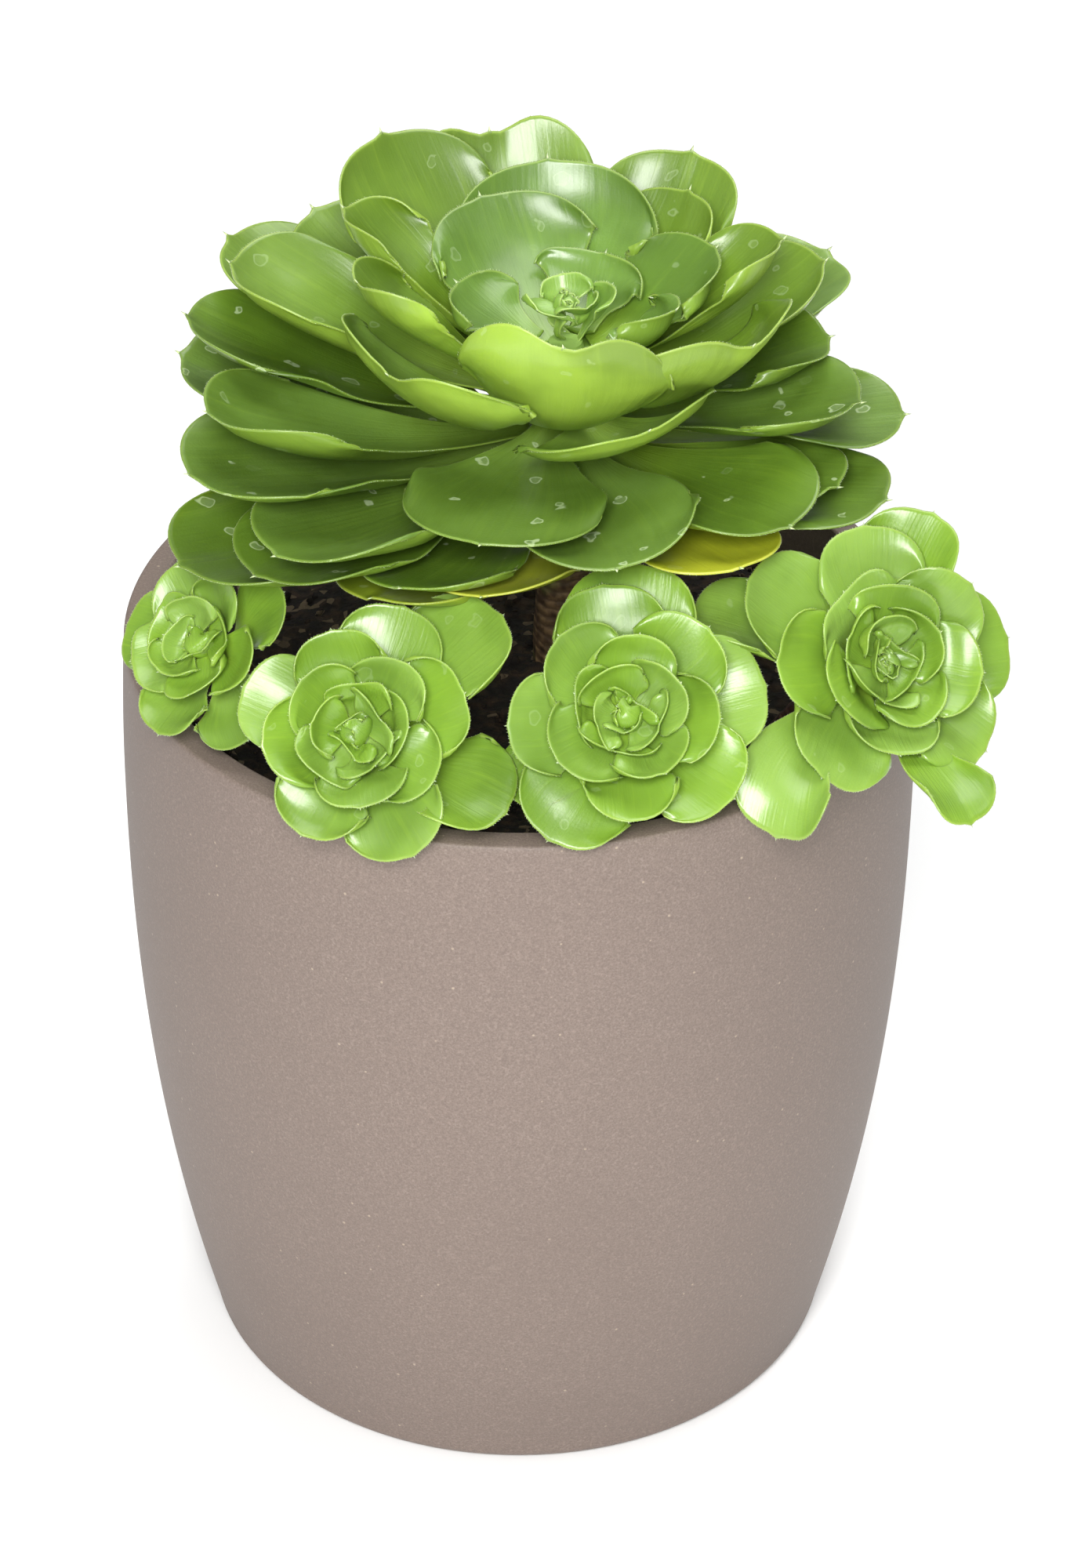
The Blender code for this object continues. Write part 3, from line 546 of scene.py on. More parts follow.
@dataclass
class Blade:
    """Fleshy leaf blade made from a grid of points: thickness, rounded rim, hairs and a pointed tip."""

    rows: int = 41
    cols: int = 31
    thick: float = 0.0017
    rim: float = 0.0006
    neck_extra: float = 0.0012
    taper: float = 0.007
    hair_step: float = 0.00085
    hair_length: float = 0.00062
    hair_base: float = 0.00011
    tip_length: float = 0.0018
    wave: float = 0.0012

    def places(self) -> tuple[np.ndarray, np.ndarray]:
        """Give the blade's places across and along, closer together at the margin."""
        across = np.sin(np.linspace(-1, 1, self.cols) * math.pi / 2)
        even = np.linspace(0, 1, self.rows)
        along = np.sin(even * math.pi / 2) * 0.45 + even * 0.55
        return across, along

    def ripple(self, points: np.ndarray, rng: np.random.Generator) -> np.ndarray:
        """Wave the blade gently, most at its margin.

        Args:
            points: smooth grid.
            rng: random source.

        Returns:
            The waved grid.
        """
        across, along = self.places()
        normals = upper_normals(points)
        s = along[:, None]
        t = across[None, :]
        phase = rng.uniform(0, math.tau, 4)
        rate = rng.uniform(1.2, 2.4, 2)
        edge = np.abs(t) ** 2.5 * s + 0.6 * s ** 6
        left = np.sin(math.tau * rate[0] * s + phase[0] + 1.4 * t)
        right = np.sin(math.tau * rate[1] * s + phase[1] - 1.1 * t)
        height = self.wave * edge * np.where(t < 0, left, right)
        height = height + 0.35 * self.wave * s * np.sin(3.1 * t + phase[2]) * np.sin(4.5 * s + phase[3])
        return points + normals * height[..., None]

    def mesh(self, name: str, points: np.ndarray, rng: np.random.Generator) -> bpy.types.Mesh:
        """Close the grid into a fleshy blade with its hairs.

        Args:
            name: the mesh's name.
            points: grid of the upper face.
            rng: random source for the hairs.

        Returns:
            The mesh, with its UV map and its "blade" and "place" attributes.
        """
        rows, cols = points.shape[:2]
        across, along = self.places()
        normals = upper_normals(points)
        ids = np.arange(rows * cols).reshape(rows, cols)
        loop = np.concatenate([ids[:, 0], ids[-1, 1:], ids[-2::-1, -1], ids[0, -2:0:-1]])
        flat = points.reshape(-1, 3)
        margin = flat[np.concatenate([ids[:, 0], ids[-1, 1:], ids[-2::-1, -1]])]
        gap = np.sqrt(((flat[:, None] - margin[None]) ** 2).sum(-1)).min(1).reshape(rows, cols)
        s = np.repeat(along[:, None], cols, 1)
        t = np.repeat(across[None, :], rows, 0)
        body = self.thick + self.neck_extra * smoothstep(1 - s / 0.35)
        depth = self.rim + (body - self.rim) * smoothstep(gap / self.taper)
        under = points - normals * depth[..., None]
        inward = np.zeros_like(points)
        inward[:, 0] = points[:, 1] - points[:, 0]
        inward[:, -1] = points[:, -2] - points[:, -1]
        inward[-1, 1:-1] = points[-2, 1:-1] - points[-1, 1:-1]
        inward[0, 1:-1] = points[1, 1:-1] - points[0, 1:-1]
        inward /= np.linalg.norm(inward, axis=-1, keepdims=True) + 1e-12
        middle = ((points + under) / 2 - inward * self.rim * 0.42).reshape(-1, 3)[loop]
        verts = [flat, under.reshape(-1, 3), middle]
        total = rows * cols

        u_up = 0.02 + 0.45 * (t + 1) / 2
        v = 0.03 + 0.94 * s
        uv_up = np.stack([u_up, v], -1).reshape(-1, 2)
        uv_low = uv_up + [0.5, 0.0]
        away = (uv_up - [0.245, 0.5]) * 0.02
        uv_out_up = uv_up + away
        uv_out_low = uv_low + away

        a, b, c, d = ids[:-1, :-1], ids[1:, :-1], ids[1:, 1:], ids[:-1, 1:]
        top = np.stack([a, b, c, d], -1).reshape(-1, 4)
        low = top[:, ::-1] + total
        ring = np.arange(len(loop))
        after = np.roll(ring, -1)
        edge, beyond = 2 * total + ring, 2 * total + after
        hem_up = np.stack([loop, edge, beyond, loop[after]], -1)[:, ::-1]
        hem_low = np.stack([edge, loop + total, loop[after] + total, beyond], -1)[:, ::-1]
        quads = np.concatenate([top, low, hem_up, hem_low])
        quad_uv = np.concatenate([
            uv_up[top], uv_low[low - total],
            np.stack([uv_up[loop[after]], uv_out_up[loop[after]], uv_out_up[loop], uv_up[loop]], 1),
            np.stack([uv_out_low[loop[after]], uv_low[loop[after]], uv_low[loop], uv_out_low[loop]], 1)])
        luck = rng.uniform(0, 1)
        blade = [np.stack([s, t, gap * 1000], -1).reshape(-1, 3)] * 2
        blade.append(np.stack([s.ravel()[loop], t.ravel()[loop], 0 * s.ravel()[loop]], -1))
        place = [np.tile([1.0, 0.0, luck], (total, 1)), np.tile([0.0, 0.0, luck], (total, 1)),
                 np.tile([0.5, 0.0, luck], (len(loop), 1))]
        hairs = self.hairs(points, under, inward, normals, rng)
        tris = []
        tri_uv = []
        start = 2 * total + len(loop)
        if len(hairs):
            count = len(hairs)
            verts.append(hairs.reshape(-1, 3))
            first = start + 4 * np.arange(count)[:, None]
            for order in ((0, 1, 3), (1, 2, 3), (2, 0, 3), (0, 2, 1)):
                tris.append(first + np.array(order))
                corner = np.array([0.985, 0.02]) + np.array([[0.0, 0.0], [0.008, 0.0], [0.0, 0.01]])
                tri_uv.append(np.tile(corner, (count, 1, 1)))
            blade.append(np.tile([1.0, 0.0, 0.0], (4 * count, 1)))
            place.append(np.tile([0.5, 1.0, luck], (4 * count, 1)))
        return self.assemble(name, np.concatenate(verts), quads, quad_uv, tris, tri_uv,
                             np.concatenate(blade), np.concatenate(place))

    def hairs(self, points: np.ndarray, under: np.ndarray, inward: np.ndarray, normals: np.ndarray,
              rng: np.random.Generator) -> np.ndarray:
        """Stand fine hairs along the margin, and one stout point at the tip.

        Args:
            points: upper grid.
            under: lower grid.
            inward: direction into the blade at the margin.
            normals: upper normals.
            rng: random source.

        Returns:
            Array [hair, 4 corners, xyz], the fourth corner being the point.
        """
        rows, cols = points.shape[:2]
        sides = [(slice(rows // 4, rows), 0), (rows - 1, slice(1, cols)),
                 (slice(rows - 2, rows // 4, -1), cols - 1)]
        mid = (points + under) / 2
        path = np.concatenate([mid[i] for i in sides])
        out = -np.concatenate([inward[i] for i in sides])
        up = np.concatenate([normals[i] for i in sides])
        step = np.linalg.norm(np.diff(path, axis=0), axis=1)
        run = np.concatenate([[0.0], np.cumsum(step)])
        count = int(run[-1] / self.hair_step)
        if count < 3:
            return np.zeros((0, 4, 3))
        at = (np.arange(count) + rng.uniform(-0.3, 0.3, count) + 0.5) / count * run[-1]
        root = np.stack([np.interp(at, run, path[:, k]) for k in range(3)], -1)
        out = np.stack([np.interp(at, run, out[:, k]) for k in range(3)], -1)
        up = np.stack([np.interp(at, run, up[:, k]) for k in range(3)], -1)
        out /= np.linalg.norm(out, axis=1, keepdims=True) + 1e-9
        along = np.cross(up, out)
        tipward = np.sign(((mid[-1, cols // 2] - root) * along).sum(1))[:, None] * along
        lean = rng.uniform(0.05, 0.6, (count, 1))
        tilt = rng.uniform(-0.3, 0.3, (count, 1))
        ray = out + tipward * lean + up * tilt
        ray /= np.linalg.norm(ray, axis=1, keepdims=True)
        size = self.hair_length * rng.uniform(0.6, 1.15, (count, 1))
        wide = self.hair_base * rng.uniform(0.8, 1.3, (count, 1))
        base = root + out * self.rim * 0.2
        corners = [base + along * wide, base - along * wide * 0.5 + up * wide * 0.87,
                   base - along * wide * 0.5 - up * wide * 0.87, base + ray * size]
        hair = np.stack(corners, 1)
        end = mid[-1, cols // 2]
        ahead = -inward[-1, cols // 2]
        above = normals[-1, cols // 2]
        beside = np.cross(above, ahead)
        wide = self.tip_length * 0.42
        back = end - ahead * self.tip_length * 0.25
        spike = np.stack([back + beside * wide, back - beside * wide * 0.5 + above * wide * 0.5,
                          back - beside * wide * 0.5 - above * wide * 0.5, end + ahead * self.tip_length])
        return np.concatenate([hair, spike[None]])

    def assemble(self, name: str, verts: np.ndarray, quads: np.ndarray, quad_uv: np.ndarray, tris: list,
                 tri_uv: list, blade: np.ndarray, place: np.ndarray) -> bpy.types.Mesh:
        """Write the arrays into a mesh.

        Args:
            name: the mesh's name.
            verts: points.
            quads: four-sided faces.
            quad_uv: their UVs.
            tris: blocks of triangles.
            tri_uv: their UVs.
            blade: along, across and distance to the margin in millimetres, for each point.
            place: upper face, hair and the leaf's random value, for each point.

        Returns:
            The mesh.
        """
        mesh = bpy.data.meshes.new(name)
        faces = quads.tolist() + [f for block in tris for f in block.tolist()]
        mesh.from_pydata(verts.tolist(), [], faces)
        uv = np.concatenate([quad_uv.reshape(-1, 2)] + [block.reshape(-1, 2) for block in tri_uv])
        layer = mesh.uv_layers.new(name="OFBake")
        layer.data.foreach_set("uv", uv.astype(np.float32).ravel())
        for title, values in (("blade", blade), ("place", place)):
            attribute = mesh.attributes.new(title, "FLOAT_VECTOR", "POINT")
            attribute.data.foreach_set("vector", values.astype(np.float32).ravel())
        form = bmesh.new()
        form.from_mesh(mesh)
        bmesh.ops.recalc_face_normals(form, faces=form.faces)
        form.to_mesh(mesh)
        form.free()
        return mesh


# ---------------------------------------------------------------- how the leaves lie on one another
@dataclass
class LeafNest:
    """Leaves that press on each other: those below give way to those above."""

    need: float = LEAF_THICK + LEAF_CLEAR
    sweeps: int = EASE_SWEEPS
    fine: int = 3
    reach_above: float = 0.012
    reach_beside: float = 0.0036
    upper_share: float = 0.4
    lower_share: float = 0.6
    longest_step: float = 0.0025

    def weights(self) -> tuple[np.ndarray, tuple]:
        """Work out bilinear weights that spread samples evenly over a leaf's grid.

        Returns:
            Weights [sample, grid point] and the samples' grid shape.
        """
        rows, cols = len(ALONG), len(ACROSS)
        a = np.linspace(0, rows - 1, (rows - 1) * self.fine + 1)
        b = np.linspace(0, cols - 1, (cols - 1) * self.fine + 1)
        w = np.zeros((len(a), len(b), rows, cols))
        for i, x in enumerate(a):
            for j, y in enumerate(b):
                p = min(int(x), rows - 2)
                q = min(int(y), cols - 2)
                f, g = x - p, y - q
                w[i, j, p, q] += (1 - f) * (1 - g)
                w[i, j, p + 1, q] += f * (1 - g)
                w[i, j, p, q + 1] += (1 - f) * g
                w[i, j, p + 1, q + 1] += f * g
        return w.reshape(len(a) * len(b), rows * cols), (len(a), len(b), 3)

    def relax(self, shift: np.ndarray) -> np.ndarray:
        """Spread a grid's shifts to their neighbours and keep its root on the stem.

        Args:
            shift: shifts, one row to a grid point.

        Returns:
            The softened shifts.
        """
        d = shift.reshape(len(ALONG), len(ACROSS), 3)
        flow = np.zeros_like(d)
        count = np.zeros((*d.shape[:2], 1))
        flow[1:] += d[:-1] - d[1:]
        count[1:] += 1
        flow[:-1] += d[1:] - d[:-1]
        count[:-1] += 1
        flow[:, 1:] += d[:, :-1] - d[:, 1:]
        count[:, 1:] += 1
        flow[:, :-1] += d[:, 1:] - d[:, :-1]
        count[:, :-1] += 1
        d = d + 0.25 * flow / count
        d[0, :, :2] = 0.0
        d[0, :, 2] = d[0, :, 2].mean()
        d[1] = d[1] * 0.5 + d[1].mean(0) * 0.5
        return d.reshape(-1, 3)

    def settle(self, grids: list[np.ndarray]) -> list[np.ndarray]:
        """Move leaves off one another; each grid lies below every grid before it.

        Args:
            grids: coarse grids, the highest leaf first.

        Returns:
            The shift of every grid point, in the same order.
        """
        weights, shape = self.weights()
        start = [g.reshape(-1, 3) for g in grids]
        now = [g.copy() for g in start]
        for _ in range(self.sweeps):
            points = [weights @ g for g in now]
            normals = [upper_normals(p.reshape(shape)).reshape(-1, 3) for p in points]
            low = [p.min(0) - self.need for p in points]
            high = [p.max(0) + self.need for p in points]
            push = [np.zeros((len(start[0]), 3)) for _ in now]
            load = [np.zeros((len(start[0]), 1)) for _ in now]
            for a in range(len(now)):
                for b in range(a + 1, len(now)):
                    if (low[a] > high[b]).any() or (low[b] > high[a]).any():
                        continue
                    near = np.where(((points[b] > low[a]) & (points[b] < high[a])).all(1))[0]
                    if len(near) == 0:
                        continue
                    gap = points[b][near][:, None] - points[a][None]
                    dist = (gap ** 2).sum(-1)
                    k = dist.argmin(1)
                    order = np.arange(len(k))
                    n = normals[a][k]
                    above = (gap[order, k] * n).sum(1)
                    beside = np.sqrt(np.maximum(0.0, dist[order, k] - above ** 2))
                    hit = (above > -self.need) & (above < self.reach_above) & (beside < self.reach_beside)
                    if not hit.any():
                        continue
                    move = (above[hit] + self.need)[:, None] * n[hit]
                    w_b = weights[near[hit]]
                    w_a = weights[k[hit]]
                    push[b] -= w_b.T @ (move * self.lower_share)
                    load[b] += w_b.sum(0)[:, None]
                    push[a] += w_a.T @ (move * self.upper_share)
                    load[a] += w_a.sum(0)[:, None]
            for i in range(len(now)):
                step = np.where(load[i] > 1e-3, push[i] / np.maximum(load[i], 1e-6), 0.0)
                size = np.linalg.norm(step, axis=1, keepdims=True)
                step *= np.minimum(1.0, self.longest_step / np.maximum(size, 1e-9))
                now[i] = start[i] + self.relax(now[i] + step - start[i])
        return [(n - s).reshape(len(ALONG), len(ACROSS), 3) for n, s in zip(now, start)]


def stack_roots(leaves: tuple[Leaf, ...]) -> list[Leaf]:
    """Order the leaves from the top and keep roots on one side of the stem a step apart.

    Args:
        leaves: the leaves as they grew.

    Returns:
        The leaves from the highest down, with their settled root heights.
    """
    stacked = []
    for leaf in sorted(leaves, key=lambda item: -item.root_z):
        z = leaf.root_z
        for above in stacked:
            apart = abs((leaf.azimuth - above.azimuth + 180) % 360 - 180)
            share = min(1.0, max(0.0, (ROOT_REACH - apart) / 12))
            if share > 0:
                z = min(z, above.root_z - 1000 * ROOT_STEP * share)
        stacked.append(replace(leaf, root_z=z))
    return stacked


# ---------------------------------------------------------------- the large rosette
LEAVES = (
    Leaf("inner_leaf_1", 158, 312.0, 24, 27, 15, 52, 38, neck=0.36),
    Leaf("inner_leaf_2", 62, 311.3, 32, 28, 20, 70, 60, neck=0.36),
    Leaf("inner_leaf_3", -114, 310.6, 26, 27, 15, 42, 35, neck=0.36),
    Leaf("inner_leaf_4", 112, 309.8, 43, 42, 15, 57, 45, neck=0.32),
    Leaf("inner_leaf_5", -150, 309.1, 48, 48, 15, 53, 38, neck=0.32),
    Leaf("inner_leaf_6", -175, 308.4, 59, 58, 15, 65, 38, neck=0.3),
    Leaf("bowl_leaf_1", -110, 307.7, 66, 34, 20, 48, 65),
    Leaf("bowl_leaf_2", 102, 307.0, 60, 34, 15, 55, 65),
    Leaf("bowl_leaf_3", 143, 306.2, 60, 36, 15, 57, 45),
    Leaf("bowl_leaf_4", -72, 305.5, 66, 40, 20, 62, 65, notch=0.05),
    Leaf("bowl_leaf_5", 50.8, 304.8, 72, 63, -8, 71, 42, notch=0.12, power=1.0),
    Leaf("bowl_leaf_6", -2, 304.1, 77, 58, -11, 99, 42, notch=0.1, power=0.9),
    Leaf("bowl_leaf_7", -46, 303.4, 74, 69, -7, 68, 40, notch=0.14, power=1.0),
    Leaf("bowl_leaf_8", 150, 302.6, 74, 46, 10, 60, 45),
    Leaf("bowl_leaf_9", -140, 301.9, 86, 52, 5, 60, 35),
    Leaf("bowl_leaf_10", -95, 301.2, 89, 48, 5, 42, 60),
    Leaf("bowl_leaf_11", 108, 300.5, 72, 44, 5, 44, 45),
    Leaf("bowl_leaf_12", 20, 299.8, 62, 58, -4, 60, 30, notch=0.06, twist=16),
    Leaf("bowl_leaf_13", -164, 299.0, 88, 56, 5, 74, 35, notch=0.08),
    Leaf("bowl_leaf_14", -128, 298.3, 85, 44, 5, 36, 38),
    Leaf("bowl_leaf_15", -113, 297.6, 98, 44, 0, 38, 40),
    Leaf("outer_leaf_1", 98, 296.9, 65, 46, 0, 22, 35),
    Leaf("outer_leaf_2", -15, 296.2, 75, 54, -5, 10, 15),
    Leaf("outer_leaf_3", -92, 295.4, 98, 52, 0, 34, 40),
    Leaf("outer_leaf_4", 76, 294.7, 73, 52, 0, 26, 42),
    Leaf("outer_leaf_5", -66, 294.0, 98, 54, 0, 36, 50),
    Leaf("outer_leaf_6", 86, 293.3, 83, 44, -5, 8, 20),
    Leaf("outer_leaf_7", 9, 292.6, 78, 52, -5, 10, 30),
    Leaf("outer_leaf_8", 43, 291.8, 77, 52, -5, 14, 42),
    Leaf("outer_leaf_9", 60, 291.1, 75, 44, -5, 26, 25),
    Leaf("outer_leaf_10", -62, 290.4, 104, 56, -5, 22, 45),
    Leaf("outer_leaf_11", -44, 289.7, 99, 52, -5, 20, 42),
    Leaf("outer_leaf_12", -98, 289.0, 99, 50, -5, 27, 35),
    Leaf("outer_leaf_13", 66, 287.5, 85, 42, -8, 18, 20),
    Leaf("outer_leaf_14", -48, 286.8, 99, 50, -8, 8, 25),
    Leaf("outer_leaf_15", -60, 286.1, 108, 56, -10, 8, 25),
    Leaf("outer_leaf_16", -28, 285.4, 84, 46, -8, 24, 25),
    Leaf("back_leaf_1", 178, 295.8, 88, 52, 0, 30, 30),
    Leaf("back_leaf_2", 128, 293.6, 86, 50, 0, 26, 30),
    Leaf("back_leaf_3", -150, 291.4, 92, 52, -2, 22, 28),
    Leaf("back_leaf_4", 155, 289.4, 90, 50, -4, 18, 25),
    Leaf("back_leaf_5", -125, 287.2, 94, 50, -6, 12, 25),
    Leaf("back_leaf_6", 108, 286.4, 84, 46, -8, 8, 20),
    Leaf("old_leaf_1", 31, 288.2, 80, 42, -8, 16, 15),
    Leaf("old_leaf_2", -15, 284.6, 76, 40, 0, 20, 15),
    Leaf("old_leaf_3", -34, 283.9, 82, 42, -3, 16, 15),
)


def grow(leaves: list[Leaf], nest: LeafNest, blade: Blade, lay: Callable,
         seed: int) -> Iterator[tuple[Leaf, np.ndarray, np.random.Generator]]:
    """Ease leaves apart on their coarse grids, then loft them finely one by one.

    Args:
        leaves: the leaves, the highest first.
        nest: how they press on each other.
        blade: how finely they are drawn, and how they wave.
        lay: gives a leaf's points from its places across and along.
        seed: random seed of the first leaf.

    Yields:
        Each leaf, its fine grid and its random source.
    """
    across, along = blade.places()
    spread_along = spline_weights(ALONG, along)
    spread_across = spline_weights(ACROSS, across)
    shifts = nest.settle([lay(leaf, ACROSS, ALONG) for leaf in leaves])
    for number, (leaf, shift) in enumerate(zip(leaves, shifts)):
        rng = np.random.default_rng(seed + number)
        grid = lay(leaf, across, along) + np.einsum("ia,jb,abk->ijk", spread_along, spread_across, shift)
        yield leaf, blade.ripple(grid, rng), rng


@dataclass
class LargeRosette:
    """The large rosette: leaves eased apart on their coarse grids, then lofted finely one by one."""

    leaves: tuple[Leaf, ...] = LEAVES
    blade: Blade = field(default_factory=Blade)
    nest: LeafNest = field(default_factory=LeafNest)
    skins: dict[LeafKind, bpy.types.Material] = field(default_factory=dict)
    turning: bpy.types.Material | None = None
    half_green: tuple[str, ...] = ("old_leaf_3",)
    seed: int = 100

    def mix_skins(self) -> None:
        """Make one skin for each kind of leaf."""
        # the inner and outer skins are darker than the bowl skin partly as painted shade: the inner leaves
        # sit down in the bowl's shade, the outer ones under the leaves above them; the rest is their own
        # colour
        looks = {
            LeafKind.INNER: LeafSkin(
                "leaf_skin_inner", "#5a7a28", "#84a43c", "#94b63a", "#425e1c", "#94ac58", bloom_and_sheen="#789c48"),
            LeafKind.BOWL: LeafSkin(
                "leaf_skin_bowl", "#628022", "#9ebe46", "#a4c240", "#4c6817", "#9cb454"),
            LeafKind.OUTER: LeafSkin(
                "leaf_skin_outer", "#587620", "#7c9a36", "#8cac32", "#405913", "#809a44", bloom_and_sheen="#6f8c44",
                spots=0.45),
            LeafKind.BACK: LeafSkin(
                "leaf_skin_back", "#6a8a2a", "#8aa83c", "#96b240", "#4f6c1a", "#94ae54", bloom_and_sheen="#84a260"),
            LeafKind.OLD: LeafSkin(
                "leaf_skin_fading", "#a2a81c", "#b2b82c", "#c0c22c", "#7c8a18", "#cccf5c", bloom_and_sheen="#b4b848",
                roughness=0.45, flecks=0.9),
        }
        self.skins = {kind: skin.build() for kind, skin in looks.items()}
        self.turning = LeafSkin(
            "leaf_skin_turning", "#849626", "#94a630", "#a4b62e", "#5f7418", "#aab64c", bloom_and_sheen="#8ea23e",
            roughness=0.4, flecks=0.5).build()

    def lay(self, leaf: Leaf, across: np.ndarray, along: np.ndarray) -> np.ndarray:
        """Work out a leaf's points round the main stem.

        Args:
            leaf: one of the leaves.
            across: places across.
            along: places along.

        Returns:
            Points as an array [along, across, xyz].
        """
        return leaf.surface(across, along, (STEM_X, STEM_Y), STEM_R + FIT)

    def build(self) -> None:
        """Loft, dress and place every leaf."""
        self.mix_skins()
        leaves = stack_roots(self.leaves)
        for leaf, grid, rng in grow(leaves, self.nest, self.blade, self.lay, self.seed):
            kind = LeafKind(leaf.name.split("_")[0])
            skin = self.turning if leaf.name in self.half_green else self.skins[kind]
            mesh = self.blade.mesh(leaf.name + "_blade", grid, rng)
            stand_for(link_object(mesh.name, mesh, skin), leaf.name)


# ---------------------------------------------------------------- small rosettes
@dataclass(frozen=True)
class SmallRosette:
    """A side rosette, or the central bud: leaves in a golden spiral round a leaning crown."""

    name: str
    crown: tuple
    lean: float
    heading: float
    span: float
    leaves: int
    turn: float
    young: int = 12
    openness: float = 1.0
    hanging: tuple[Leaf, ...] = ()

    def axes(self) -> np.ndarray:
        """Give the rosette's own right, back and up directions as columns."""
        lean, head = math.radians(self.lean), math.radians(self.heading)
        ahead = np.array([math.sin(head), -math.cos(head), 0.0])
        up = ahead * math.sin(lean) + np.array([0.0, 0.0, math.cos(lean)])
        right = np.array([math.cos(head), math.sin(head), 0.0])
        return np.column_stack([right, np.cross(up, right), up])

    def spiral(self) -> list[Leaf]:
        """List the leaves, youngest first.

        Returns:
            The folded young leaves, then the spread older ones.
        """
        result = []
        for i in range(self.young):
            age = (i + 1) / (self.young + 1)
            length = self.span * 1000 * (0.05 + 0.15 * age)
            result.append(Leaf(f"young_{i + 1}", self.turn + 137.5 * (i - self.young), 5.5 - 3.0 * age,
                               length, length * 1.0, 78 - 22 * age, 108 - 22 * age, 55 - 10 * age))
        for i in range(self.leaves):
            age = i / (self.leaves - 1)
            length = self.span * 1000 * (0.20 + 0.42 * age ** 0.9)
            result.append(Leaf(f"spread_{i + 1}", self.turn + 137.5 * i, 2.5 - 6.0 * age, length,
                               length * (1.0 - 0.16 * age), 56 - 54 * age * self.openness,
                               84 - 76 * age * self.openness, 44 - 18 * age))
        return result + list(self.hanging)

    def lay(self, leaf: Leaf, across: np.ndarray, along: np.ndarray) -> np.ndarray:
        """Work out a leaf's points in the rosette's own directions.

        Args:
            leaf: one of the spiral, or a hanging leaf, which is set by plumb line.
            across: places across.
            along: places along.

        Returns:
            Points as an array [along, across, xyz].
        """
        grid = leaf.surface(across, along, (0.0, 0.0), OFFSET_CORE_R * 0.35)
        return grid @ self.axes() if leaf in self.hanging else grid

    def build(self, skin: bpy.types.Material, slot: str, node: str) -> None:
        """Loft every leaf and join them into one piece.

        Args:
            skin: leaf material.
            slot: the record's material slot; not used.
            node: the solid that the piece stands for.
        """
        nest = LeafNest(need=0.0016, sweeps=16)
        blade = Blade(rows=25, cols=19, thick=0.0014, rim=0.0005, neck_extra=0.0005, taper=0.005,
                      hair_step=0.00085, hair_length=0.00055, tip_length=0.0009, wave=0.0007)
        axes = self.axes()
        centre = np.array(self.crown)
        leaves = self.spiral()
        parts = []
        for leaf, grid, rng in grow(leaves, nest, blade, self.lay, int(self.turn) * 50):
            mesh = blade.mesh(f"{self.name}_{leaf.name}", centre + grid @ axes.T, rng)
            parts.append(link_object(mesh.name, mesh, skin))
        joined = parts[0]
        with bpy.context.temp_override(active_object=joined, selected_editable_objects=parts):
            bpy.ops.object.join()
        joined.name = node + "_leaves"
        joined.data.name = joined.name
        stand_for(joined, node)


OFFSETS = (
    SmallRosette("offset_left", (-0.083, -0.050, 0.2525), 48, -46, 0.047, 17, 20),
    SmallRosette("offset_front_left", (-0.041, -0.089, 0.2505), 48, -8, 0.0555, 20, 75, hanging=(
        Leaf("hanging_1", 112, -2, 48, 42, 42, 34, 30),
        Leaf("hanging_2", 62, -3, 42, 38, -5, -14, 30),
    )),
    SmallRosette("offset_front_right", (0.028, -0.086, 0.254), 46, 4, 0.061, 20, 10, hanging=(
        Leaf("hanging_1", 172, -2, 42, 38, 55, 45, 26),
        Leaf("hanging_2", -58, -3, 33, 32, -8, -22, 30),
    )),
    SmallRosette("offset_right", (0.0945, -0.0585, 0.2535), 50, 30, 0.0655, 20, 130, hanging=(
        Leaf("hanging_1", -30, -3, 58, 30, 5, -65, 34, power=1.6),
        Leaf("hanging_2", 30, -3, 52, 20, 0, -45, 26),
        Leaf("hanging_3", -88, -2, 50, 34, 30, 15, 34),
        Leaf("hanging_4", 140, -2, 45, 36, 64, 48, 30),
    )),
)


